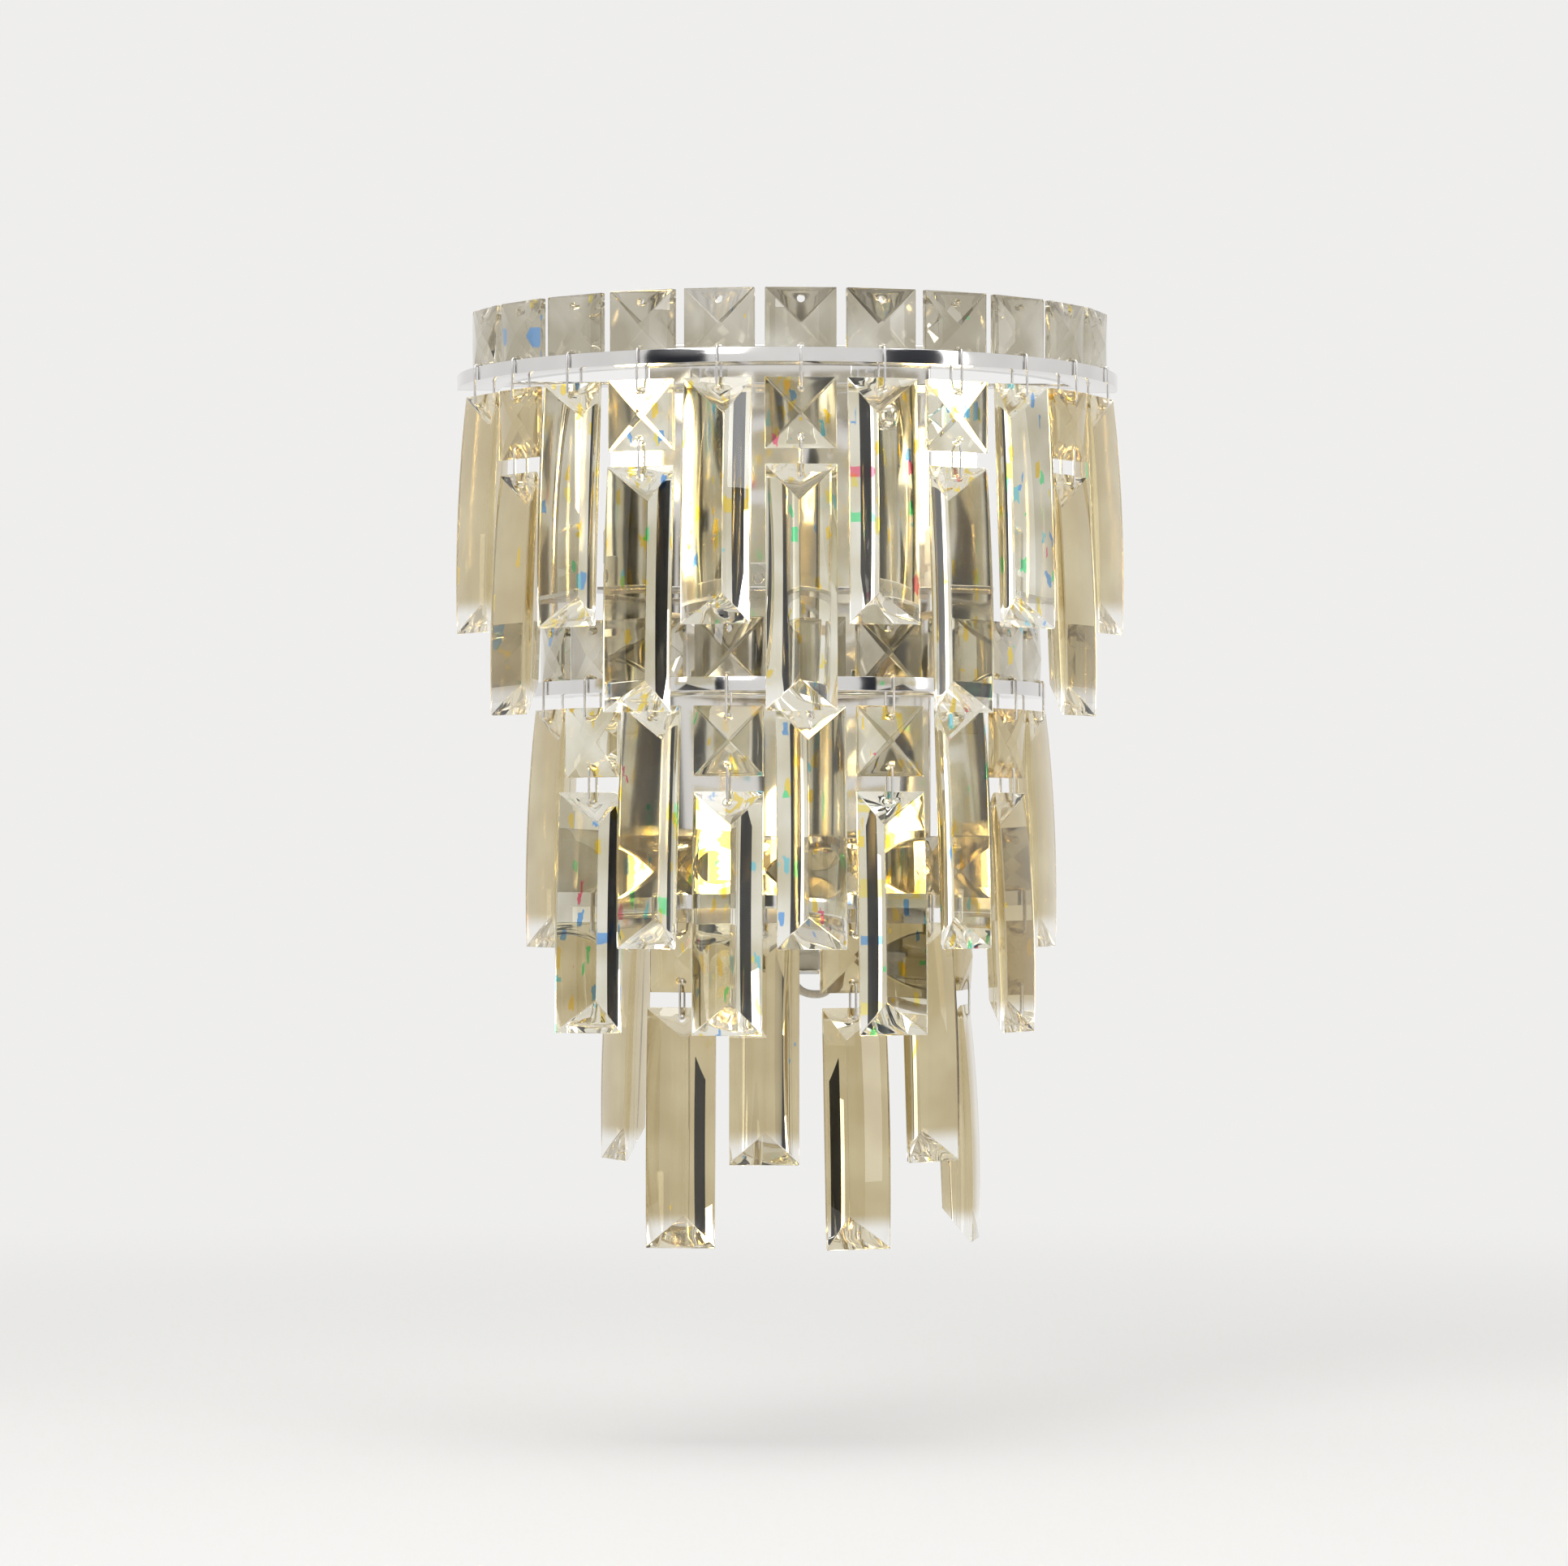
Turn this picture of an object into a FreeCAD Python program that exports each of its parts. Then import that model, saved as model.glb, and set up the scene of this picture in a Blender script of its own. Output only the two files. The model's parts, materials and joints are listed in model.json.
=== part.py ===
import FreeCAD, Part
import math
import os

from FreeCAD import Placement, Rotation, Vector

# Crystal wall sconce. Millimetres, +Z up. The wall is the plane Y = 0 and the room is on the -Y side.
# The origin is the middle of the wall bracket's two fixing holes, on the wall.

document = FreeCAD.newDocument("CrystalWallSconce")
sheet = document.addObject("Spreadsheet::Sheet", "Sizes")

drivingSizes = {
    # The three D-shaped rings. A ring's level is the top of its rim.
    "topRingRadius": 107.5,
    "middleRingRadius": 84,
    "bottomRingRadius": 60.5,
    "topRingInset": 10,
    "middleRingDrop": 100,
    "bottomRingInset": 10,
    "ringThickness": 1,
    "rimHeight": 3.4,
    "ringStripWidth": 14,
    "ringWallGap": 1,
    "rearBarDepth": 10,
    "flangeHeight": 9,
    "flangeWidth": 12,
    # Where the strands hang, in degrees round each ring.
    "topPitch": 13.8,
    "topTurn": -0.3,
    "middlePitch": 18,
    "middleTurn": 2.5,
    "bottomPitch": 28,
    "bottomTurn": 4.4,
    # Wire links.
    "wireDiameter": 0.8,
    "linkCorner": 0.7,
    "linkHoleSide": 1.4,
    # Square crystals, faceted to a low pyramid on both faces.
    "squareSide": 22,
    "squareEdge": 2,
    "squareMiddle": 7,
    # Long prism crystals, with a broad outer face and a ridge behind it.
    "prismWidth": 22,
    "prismLength": 76,
    "prismDepth": 10.4,
    "prismBulge": 1.5,
    "prismEdge": 1,
    "prismLip": 0.5,
    "prismBevel": 10.5,
    # Drilled holes in both kinds of crystal.
    "crystalHole": 2.5,
    "holeInset": 3.6,
    # Heights along a strand.
    "crystalDrop": 9,
    "strandGap": 4.7,
    # Named clearances.
    "hingeSag": 0.1,
    "linkRest": 0.3,
    "wireClearance": 0.35,
    "seatClearance": 0.2,
    # Back plate, a tray with its open side to the wall.
    "plateWidth": 92,
    "plateHeight": 188,
    "plateDepth": 14,
    "plateWall": 1.2,
    # Wall bracket inside the back plate.
    "bracketWidth": 24,
    "bracketHeight": 150,
    "bracketThickness": 1.5,
    "fixingSpacing": 80,
    "fixingHole": 5,
    "cableHole": 12,
    "studSpacing": 130,
    "studDiameter": 4,
    "studStandout": 4,
    "nutAcross": 8,
    "nutSkirt": 4.5,
    # Screws that hold the rings and shelves.
    "screwDiameter": 3,
    "screwHead": 5.5,
    "screwHeadHeight": 1.8,
    "screwTail": 2.5,
    "screwSpacing": 52,
    "shelfScrewSpacing": 20,
    # Bulbs and their holders.
    "bulbDiameter": 14,
    "bulbLength": 38,
    "pinchWidth": 9,
    "pinchThickness": 4.4,
    "pinchLength": 8,
    "holderDiameter": 19,
    "holderHeight": 20,
    "bulbStandoff": 2,
    "upperLampSpacing": 102,
    "upperLampReach": 48,
    "upperTipDrop": 11,
    "lowerLampReach": 36,
    "lowerTipRise": 36,
    # Sheet shelves under the holders.
    "shelfThickness": 1.2,
    "shelfMargin": 2,
    "shelfNeck": 30,
    "shelfFlange": 10,
    "lowerShelfWidth": 16,
    # Wiring.
    "leadDiameter": 2.6,
    "leadDrop": 7,
    "leadHole": 5,
    "leadSpread": 30,
    "leadDepth": 7,
    "lowerLeadOffset": 18,
    "terminalWidth": 18,
    "terminalHeight": 22,
    "terminalDepth": 9,
    "terminalOffset": 30,
    "terminalDrop": 6,
}

ringNames = ("top", "middle", "bottom")
# Strands are counted from the left, and short and long ones take turns, the first of them short.
# How far each strand's lowest crystal is turned about the vertical, in degrees, as it hangs at rest.
strandTwists = {
    "top": (6, -4, 3, 4, -5, 2, -3, 5, -4, 3, -5),
    "middle": (4, 30, -4, 6, 3, -6, 4, 3, -5),
    "bottom": (-5, 28, 5, 4, -6, 5),
}
# Flat sides of the small round forms, and steps along the curved ones.
holeSides = 6
wireSides = 4
screwSides = 6
nutSides = 6
lampSides = 16
bulgeSteps = 4
domeSteps = 3

for row, (alias, value) in enumerate(drivingSizes.items(), start=1):
    sheet.set(f"A{row}", alias)
    sheet.set(f"B{row}", str(value))
    sheet.setAlias(f"B{row}", alias)
document.recompute()

nodes = []
upright = Vector(0, 0, 1)
sideways = Vector(1, 0, 0)


# Small helpers. Every size and place that they take is an expression in the sheet's aliases.


def size(name):
    """A driving dimension, read from the sheet."""
    return float(sheet.get(name))


def value(expression):
    """The number that an expression in the sheet's aliases stands for."""
    return float(sheet.evalExpression(expression))


def bound(kind, name, axis=None, angle=0, **expressions):
    """A document object with its sizes and place bound to the sheet, and turned about an axis."""
    made = document.addObject(kind, name)
    if axis:
        made.Placement = Placement(Vector(), Rotation(axis, angle))
    for path, expression in expressions.items():
        base = "Placement.Base." + path if path in ("x", "y", "z") else path
        made.setExpression(base, expression)
    return made


def box(name, length, width, height, x, y, z):
    """A box from its low corner."""
    return bound("Part::Box", name, Length=length, Width=width, Height=height, x=x, y=y, z=z)


def centredBox(name, length, width, height, x, y, z):
    """A box that is centred across X, from its low Y and Z."""
    return box(name, length, width, height, f"{x} - ({length}) / 2", y, z)


def rod(name, radius, length, x, y, z, axis=sideways, angle=90):
    """A cylinder that starts at x, y, z. It runs towards the room unless it is turned otherwise."""
    return bound("Part::Cylinder", name, axis, angle, Radius=radius, Height=length, x=x, y=y, z=z)


def bar(name, sides, radius, length, x, y, z, axis=sideways, angle=90):
    """A rod with flat sides."""
    made = bound("Part::Prism", name, axis, angle, Circumradius=radius, Height=length, x=x, y=y, z=z)
    made.Polygon = sides
    return made


def joined(name, items):
    made = document.addObject("Part::MultiFuse", name)
    made.Shapes = items
    made.Refine = True
    return made


def together(name, items):
    """Several objects kept as separate solids."""
    made = document.addObject("Part::Compound", name)
    made.Links = items
    return made


def without(name, base, tools):
    made = document.addObject("Part::Cut", name)
    made.Base = base
    made.Tool = tools[0] if len(tools) == 1 else together(name + "Tools", tools)
    made.Refine = True
    return made


def placed(name, master, placement):
    """A copy of a master piece, which follows the master's sizes."""
    made = together(name, [master])
    made.Placement = placement
    return made


def asNode(item, label):
    """Name the sub-part that this object is."""
    item.Label = label
    nodes.append(item)
    return item


def strandPlacement(radius, angle, level, twist=0.0, lean=0.0):
    """Strand frame: X along the rim, -Y outward, Z up. Angle 0 is straight out from the wall."""
    turn = math.radians(angle)
    place = Vector(radius * math.sin(turn), -radius * math.cos(turn), level)
    return Placement(place, Rotation(upright, angle + twist) * Rotation(sideways, lean))


# Sizes that follow from the driving ones.

wireRadius = size("wireDiameter") / 2
squareSlope = (size("squareMiddle") - size("squareEdge")) / size("squareSide")
bevelSlope = (size("prismDepth") - size("prismLip")) / size("prismBevel")
holeTop = size("holeInset") - size("crystalHole") / 2


def squareHalfThickness(fromEdge):
    """Half the thickness of a square crystal at a distance from its edge."""
    return size("squareEdge") / 2 + squareSlope * fromEdge


def rimSagitta():
    """How far the tightest rim's inner face bows in over the full thickness of a square behind it."""
    radius = size("bottomRingRadius") - size("ringThickness")
    reach = size("squareSide") / 2 - size("rimHeight")
    return radius - math.sqrt(radius**2 - reach**2)


# Radial places, from a ring's outer face. Outward is positive.
rimRoom = size("ringThickness") + size("seatClearance") + rimSagitta()
standingPlane = -(rimRoom + squareHalfThickness(size("rimHeight")))
strandLinkHalfWidth = squareHalfThickness(holeTop) + size("wireClearance") + wireRadius
linkInnerLeg = standingPlane - strandLinkHalfWidth
linkOuterLeg = size("wireClearance") + wireRadius
rimLinkHalfWidth = (linkOuterLeg - linkInnerLeg) / 2
hangLine = (linkOuterLeg + linkInnerLeg) / 2
# The wire runs through a prism midway between its outer face and its bevel, beside the hole.
prismFace = (size("prismLip") + bevelSlope * holeTop) / 2 - size("seatClearance") / 2

# Heights, from the top of a ring's rim.
linkTop = wireRadius + size("wireClearance") / 4
firstHinge = size("hingeSag") - size("crystalDrop") - size("holeInset")
lowerHole = firstHinge - size("hingeSag") - size("squareSide") + 2 * size("holeInset")
strandLinkTop = lowerHole - size("linkRest")
prismTop = -(size("crystalDrop") + size("squareSide") + size("strandGap"))
secondHinge = prismTop - size("holeInset") + size("hingeSag")
standingOrigin = size("squareSide") - size("rimHeight") - size("holeInset") + size("hingeSag")

levelExpressions = {
    "top": "Sizes.plateHeight / 2 - Sizes.topRingInset",
    "middle": "Sizes.plateHeight / 2 - Sizes.topRingInset - Sizes.middleRingDrop",
    "bottom": "Sizes.bottomRingInset - Sizes.plateHeight / 2",
}
ringLevels = {tier: value(level) for tier, level in levelExpressions.items()}


def hangRadius(tier):
    return size(tier + "RingRadius") + hangLine


def strandAngles(tier):
    """Strand angles from left to right, evenly spread about the tier's turn."""
    count = len(strandTwists[tier])
    middle = (count - 1) / 2
    pitch, turn = size(tier + "Pitch"), size(tier + "Turn")
    return [turn + pitch * (number - middle) for number in range(count)]


# Master crystals. Each has its upper hinge at the origin, and the hole sags a little below it.


def holeThrough(name, z):
    """A drilled hole along Y, as a tool with flat sides."""
    radius = "Sizes.crystalHole / 2"
    reach = "2 * Sizes.prismDepth + 2 * Sizes.squareMiddle"
    return bar(name, holeSides, radius, reach, "0", "Sizes.prismDepth + Sizes.squareMiddle", z)


def makeSquareCrystal():
    """A thin square slab with a low pyramid on both faces and a hole near two opposite edges."""
    low = "Sizes.holeInset - Sizes.hingeSag - Sizes.squareSide"
    half = "Sizes.squareSide / 2"
    slab = centredBox(
        "SquareSlab",
        "Sizes.squareSide",
        "Sizes.squareEdge",
        "Sizes.squareSide",
        "0",
        "-Sizes.squareEdge / 2",
        low,
    )
    pieces = [slab]
    for name, angle, face in (
        ("SquareBackPyramid", 0, "Sizes.squareEdge / 2"),
        ("SquareFrontPyramid", 180, "-Sizes.squareEdge / 2"),
    ):
        pyramid = bound(
            "Part::Wedge",
            name,
            upright,
            angle,
            Xmin="-" + half,
            Xmax=half,
            Zmin="-" + half,
            Zmax=half,
            Ymin="0",
            Ymax="(Sizes.squareMiddle - Sizes.squareEdge) / 2",
            X2min="0",
            X2max="0",
            Z2min="0",
            Z2max="0",
            y=face,
            z=f"{low} + {half}",
        )
        pieces.append(pyramid)
    holes = [
        holeThrough("SquareUpperHole", "-Sizes.hingeSag"),
        holeThrough("SquareLowerHole", f"{low} + Sizes.holeInset"),
    ]
    return without("SquareCrystal", joined("SquareBody", pieces), holes)


def makePrismCrystal():
    """A long prism: its side view across its plan, with a bevel from the ridge at both ends."""
    top = size("holeInset") - size("hingeSag")
    length, depth, bevel = size("prismLength"), size("prismDepth"), size("prismBevel")
    beyond = depth / 2
    run = bevel + beyond / bevelSlope
    outer = []
    for step in range(bulgeSteps + 1):
        along = step / bulgeSteps
        outer.append((-4 * size("prismBulge") * along * (1 - along), top - length * along))
    inner = [
        (size("prismLip"), top - length),
        (depth + beyond, top - length + run),
        (depth + beyond, top - run),
        (size("prismLip"), top),
    ]
    sideView = [Vector(-size("prismWidth"), y - prismFace, z) for y, z in outer + inner]
    side = solidFeature("PrismSideView", Part.Face(Part.makePolygon(sideView + sideView[:1])))
    half, edge = size("prismWidth") / 2, size("prismEdge")
    plan = [(-half, -length), (half, -length), (half, edge), (0, depth), (-half, edge)]
    planView = [Vector(x, y - prismFace, top - 2 * length) for x, y in plan]
    across = solidFeature("PrismPlan", Part.Face(Part.makePolygon(planView + planView[:1])))
    long = bound("Part::Extrusion", "PrismSide", LengthFwd="2 * Sizes.prismWidth")
    long.Base = side
    long.Dir = sideways
    tall = bound("Part::Extrusion", "PrismPlanRise", LengthFwd="3 * Sizes.prismLength")
    tall.Base = across
    tall.Dir = upright
    for extrusion in (long, tall):
        extrusion.DirMode = "Custom"
        extrusion.Solid = True
    common = document.addObject("Part::Common", "PrismBody")
    common.Base = long
    common.Tool = tall
    common.Refine = True
    return without("PrismCrystal", common, [holeThrough("PrismHole", "-Sizes.hingeSag")])


def solidFeature(name, shape):
    made = document.addObject("Part::Feature", name)
    made.Shape = shape
    return made


def slide(corners, direction, point, normal):
    """Move corners along a direction until they lie in a plane."""
    return [c + direction * ((point - c).dot(normal) / direction.dot(normal)) for c in corners]


def facetedTube(points, radius, closed):
    """A bent wire as a solid with flat sides, mitred at each bend."""
    count = len(points)
    spans = count if closed else count - 1
    along = [(points[(i + 1) % count] - points[i]).normalize() for i in range(spans)]
    across = sideways if abs(along[0].x) < 0.9 else upright
    across = (across - along[0] * across.dot(along[0])).normalize()
    up = along[0].cross(across)
    start = (points[0] + points[1]) * 0.5 if closed else points[0]
    ring = []
    for number in range(wireSides):
        turn = 2 * math.pi * number / wireSides
        ring.append(start + across * (radius * math.cos(turn)) + up * (radius * math.sin(turn)))
    rings = [ring]
    for i in range(spans if closed else spans - 1):
        mitre = (along[i] + along[(i + 1) % spans]).normalize()
        rings.append(slide(rings[-1], along[i], points[(i + 1) % count], mitre))
    if closed:
        rings.append(rings[0])
    else:
        rings.append(slide(rings[-1], along[-1], points[-1], along[-1]))
    faces = []
    for one, other in zip(rings[:-1], rings[1:]):
        for i in range(wireSides):
            j = (i + 1) % wireSides
            faces.append(Part.Face(Part.makePolygon([one[i], one[j], other[j], other[i], one[i]])))
    if not closed:
        for end in (rings[0], rings[-1]):
            faces.append(Part.Face(Part.makePolygon(end + end[:1])))
    solid = Part.Solid(Part.Shell(faces))
    if solid.Volume < 0:
        solid.reverse()
    return solid


def facetedTurning(name, sides, outline):
    """A turned form with flat sides about Z, from radius and height pairs that go upwards."""
    rings = []
    for radius, height in outline:
        turns = [2 * math.pi * number / sides for number in range(sides)]
        rings.append([Vector(radius * math.cos(turn), radius * math.sin(turn), height) for turn in turns])
    faces = [Part.Face(Part.makePolygon(end + end[:1])) for end in (rings[0], rings[-1])]
    for one, other in zip(rings[:-1], rings[1:]):
        for i in range(sides):
            j = (i + 1) % sides
            faces.append(Part.Face(Part.makePolygon([one[i], one[j], other[j], other[i], one[i]])))
    solid = Part.Solid(Part.Shell(faces))
    if solid.Volume < 0:
        solid.reverse()
    return solidFeature(name, solid)


def domeOutline(radius, foot):
    """Radius and height pairs of a dome that starts upright and ends in a small flat."""
    angles = [math.radians(90 * step / (domeSteps + 0.5)) for step in range(domeSteps + 1)]
    outline = [(radius * math.cos(angle), foot + radius * math.sin(angle)) for angle in angles]
    flat = outline[-1][0]
    return outline[:-1] + [(flat, foot + radius)]


def makeLink(name, halfWidth, height):
    """A closed link that stands in the strand's radial plane, its lowest run through the origin."""
    corner = size("linkCorner")
    flat = halfWidth - corner
    outline = (
        (-flat, 0),
        (flat, 0),
        (halfWidth, corner),
        (halfWidth, height - corner),
        (flat, height),
        (-flat, height),
        (-halfWidth, height - corner),
        (-halfWidth, corner),
    )
    points = [Vector(0, y, z) for y, z in outline]
    return solidFeature(name, facetedTube(points, wireRadius, True))


# The frame.


def screwPlaces():
    """Across, level and hole name of each screw that holds something to the back plate."""
    places = []
    for tier in ringNames:
        ledge = f"{levelExpressions[tier]} - Sizes.rimHeight"
        level = f"{ledge} + (Sizes.flangeHeight - Sizes.ringThickness) / 2"
        places += [(f"{sign}Sizes.screwSpacing / 2", level) for sign in ("-", "")]
    level = f"{upperShelfTop} + Sizes.shelfFlange / 2"
    return places + [(f"{sign}Sizes.shelfScrewSpacing / 2", level) for sign in ("-", "")]


def lampLevels(tip):
    """Expressions for the bottom of a lamp's glass and its holder's foot, below its tip."""
    glass = f"{tip} - Sizes.bulbLength"
    return glass, f"{glass} - Sizes.bulbStandoff - Sizes.holderHeight"


upperGlass, upperShelfTop = lampLevels(f"{levelExpressions['top']} - Sizes.upperTipDrop")
lowerGlass, lowerShelfTop = lampLevels(f"{levelExpressions['bottom']} + Sizes.lowerTipRise")
plateFront = "-Sizes.plateDepth"


def makeRing(tier):
    """A half ring of angle section: a flat ledge with an upright rim, and a bar across its back."""
    title = tier.capitalize()
    radius = f"Sizes.{tier}RingRadius"
    level = levelExpressions[tier]
    ledge = f"{level} - Sizes.rimHeight"
    foot = f"{ledge} - Sizes.ringThickness"
    tall = "Sizes.rimHeight + Sizes.ringThickness"
    solid = bound("Part::Cylinder", title + "Disc", upright, 180, Radius=radius, Height=tall, z=foot)
    solid.setExpression("Angle", "180")
    low = f"{foot} - ({tall}) / 2"
    inside = f"{radius} - Sizes.ringStripWidth"
    opening = rod(title + "Opening", inside, f"2 * ({tall})", "0", "0", low, upright, 0)
    recess = rod(title + "Recess", f"{radius} - Sizes.ringThickness", tall, "0", "0", ledge, upright, 0)
    wall = centredBox(
        title + "WallSide",
        f"3 * {radius}",
        "2 * Sizes.ringWallGap",
        f"2 * ({tall})",
        "0",
        "-Sizes.ringWallGap",
        low,
    )
    half = without(title + "HalfRing", solid, [opening, recess, wall])
    rearBar = centredBox(
        title + "RearBar",
        f"2 * ({radius} - Sizes.ringStripWidth)",
        "Sizes.rearBarDepth",
        "Sizes.ringThickness",
        "0",
        f"{plateFront} - Sizes.rearBarDepth",
        foot,
    )
    pieces = [half, rearBar]
    for side, sign in (("Left", "-"), ("Right", "")):
        flange = centredBox(
            title + side + "Flange",
            "Sizes.flangeWidth",
            "Sizes.ringThickness",
            "Sizes.flangeHeight",
            f"{sign}Sizes.screwSpacing / 2",
            f"{plateFront} - Sizes.ringThickness",
            foot,
        )
        pieces.append(flange)
    tools = [
        centredBox(
            title + "PlatePassage",
            "Sizes.plateWidth + 2 * Sizes.seatClearance",
            "Sizes.plateDepth",
            f"2 * ({tall})",
            "0",
            plateFront,
            low,
        )
    ]
    for number, (across, height) in enumerate(screwPlaces()[: 2 * len(ringNames)]):
        if number // 2 == ringNames.index(tier):
            tools.append(screwHole(f"{title}ScrewHole{number}", across, height))
    if tier == "bottom":
        tools.append(barScrewHole("BottomBarScrewHole"))
    punch = centredBox(
        title + "Punch",
        "Sizes.linkHoleSide",
        "Sizes.linkHoleSide",
        f"3 * ({tall})",
        "0",
        "-Sizes.linkHoleSide / 2",
        f"-2 * ({tall})",
    )
    for number, angle in enumerate(strandAngles(tier), start=1):
        place = strandPlacement(size(tier + "RingRadius") + linkInnerLeg, angle, ringLevels[tier])
        tools.append(placed(f"{title}LinkHole{number}", punch, place))
    return without(title + "Ring", joined(title + "RingBody", pieces), tools)


def screwHole(name, across, height):
    return bar(
        name,
        screwSides,
        "Sizes.screwDiameter / 2 + Sizes.seatClearance",
        "Sizes.plateDepth",
        across,
        "-Sizes.plateDepth / 2",
        height,
    )


def barScrewHole(name):
    """The hole for the screw that holds the lower shelf under the bottom ring's rear bar."""
    return bar(
        name,
        screwSides,
        "Sizes.screwDiameter / 2 + Sizes.seatClearance",
        "4 * Sizes.rimHeight",
        "0",
        f"{plateFront} - Sizes.rearBarDepth / 2",
        f"{levelExpressions['bottom']} - 3 * Sizes.rimHeight",
        upright,
        0,
    )


def makeScrew():
    """A round-headed screw along -Y, its head's seat at the origin and its tail towards the wall."""
    head = bar("ScrewHead", screwSides, "Sizes.screwHead / 2", "Sizes.screwHeadHeight", "0", "0", "0")
    length = "Sizes.ringThickness + Sizes.plateWall + Sizes.screwTail"
    tail = bar("ScrewShank", screwSides, "Sizes.screwDiameter / 2", length, "0", length, "0")
    return joined("Screw", [head, tail])


def makeScrews():
    screw = makeScrew()
    copies = []
    for number, (across, height) in enumerate(screwPlaces()):
        onRing = number < 2 * len(ringNames)
        sheetMetal = size("ringThickness") if onRing else size("shelfThickness")
        place = Vector(value(across), -size("plateDepth") - sheetMetal, value(height))
        copies.append(placed(f"Screw{number + 1}", screw, Placement(place, Rotation())))
    barTop = ringLevels["bottom"] - size("rimHeight")
    place = Vector(0, -size("plateDepth") - size("rearBarDepth") / 2, barTop)
    copies.append(placed("BarScrew", screw, Placement(place, Rotation(sideways, -90))))
    return together("Screws", copies)


def studPlaces():
    return ("Sizes.studSpacing / 2", "-Sizes.studSpacing / 2")


def makeBackPlate():
    """A shallow tray, open towards the wall, with holes for studs, screws and leads."""
    outer = centredBox(
        "PlateOuter",
        "Sizes.plateWidth",
        "Sizes.plateDepth",
        "Sizes.plateHeight",
        "0",
        plateFront,
        "-Sizes.plateHeight / 2",
    )
    inner = centredBox(
        "PlateInner",
        "Sizes.plateWidth - 2 * Sizes.plateWall",
        "Sizes.plateDepth",
        "Sizes.plateHeight - 2 * Sizes.plateWall",
        "0",
        f"{plateFront} + Sizes.plateWall",
        "Sizes.plateWall - Sizes.plateHeight / 2",
    )
    tools = [inner]
    for number, height in enumerate(studPlaces()):
        tools.append(
            rod(
                f"PlateStudHole{number}",
                "Sizes.studDiameter / 2 + Sizes.seatClearance",
                "Sizes.plateDepth",
                "0",
                "-Sizes.plateDepth / 2",
                height,
            )
        )
    for number, (across, height) in enumerate(screwPlaces()):
        tools.append(screwHole(f"PlateScrewHole{number}", across, height))
    for side, sign in (("Left", "-"), ("Right", "")):
        tools.append(
            rod(
                f"Plate{side}LeadHole",
                "Sizes.leadHole / 2",
                "Sizes.plateDepth",
                f"{sign}Sizes.leadSpread",
                "-Sizes.plateDepth / 2",
                leadLevel,
            )
        )
    tools.append(
        rod(
            "PlateLowerLeadHole",
            "Sizes.leadHole / 2",
            "4 * Sizes.plateWall",
            "Sizes.lowerLeadOffset",
            "-Sizes.leadDepth",
            "-Sizes.plateHeight / 2 - 2 * Sizes.plateWall",
            upright,
            0,
        )
    )
    return without("BackPlate", outer, tools)


def makeWallBracket():
    """An upright strip on the wall with two fixing holes, a cable hole and two threaded studs."""
    strip = centredBox(
        "BracketStrip",
        "Sizes.bracketWidth",
        "Sizes.bracketThickness",
        "Sizes.bracketHeight",
        "0",
        "-Sizes.bracketThickness",
        "-Sizes.bracketHeight / 2",
    )
    pieces = [strip]
    reach = "Sizes.plateDepth + Sizes.studStandout"
    for number, height in enumerate(studPlaces()):
        pieces.append(rod(f"Stud{number}", "Sizes.studDiameter / 2", reach, "0", "0", height))
    through, start = "Sizes.plateDepth", "Sizes.plateDepth / 2"
    tools = [rod("CableHole", "Sizes.cableHole / 2", through, "0", start, "0")]
    for number, height in enumerate(("Sizes.fixingSpacing / 2", "-Sizes.fixingSpacing / 2")):
        tools.append(rod(f"FixingHole{number}", "Sizes.fixingHole / 2", through, "0", start, height))
    return without("WallBracket", joined("BracketBody", pieces), tools)


def makeCapNut():
    """A domed hexagon nut along -Y, its seat at the origin, blind bored for the stud."""
    corners = f"Sizes.nutAcross / 2 / cos(180 / {nutSides})"
    skirt = bar("NutSkirt", nutSides, corners, "Sizes.nutSkirt", "0", "0", "0")
    outline = domeOutline(size("nutAcross") / 2 - size("seatClearance"), size("nutSkirt"))
    dome = facetedTurning("NutDome", 2 * nutSides, outline)
    dome.Placement = Placement(Vector(), Rotation(sideways, 90))
    bore = rod(
        "NutBore",
        "Sizes.studDiameter / 2 + Sizes.seatClearance / 4",
        "2 * (Sizes.studStandout + Sizes.seatClearance)",
        "0",
        "Sizes.studStandout + Sizes.seatClearance",
        "0",
    )
    return without("CapNut", joined("NutBody", [skirt, dome]), [bore])


def makeCapNuts():
    nut = makeCapNut()
    copies = []
    for number, height in enumerate(studPlaces()):
        place = Vector(0, -size("plateDepth"), value(height))
        copies.append(placed(f"CapNut{number + 1}", nut, Placement(place, Rotation())))
    return together("CapNuts", copies)


# The lamps. A holder's foot and a bulb's glass each start at the master's origin.


def makeHolder():
    """A round ceramic holder with a slot in its top for the bulb's flat pinch."""
    radius = "Sizes.holderDiameter / 2"
    body = bar("HolderBody", lampSides, radius, "Sizes.holderHeight", "0", "0", "0", upright, 0)
    slot = centredBox(
        "HolderSlot",
        "Sizes.pinchWidth + 2 * Sizes.seatClearance",
        "Sizes.pinchThickness + 2 * Sizes.seatClearance",
        "2 * Sizes.pinchLength",
        "0",
        "-Sizes.pinchThickness / 2 - Sizes.seatClearance",
        "Sizes.holderHeight - Sizes.pinchLength - Sizes.seatClearance",
    )
    return without("Holder", body, [slot])


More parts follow.
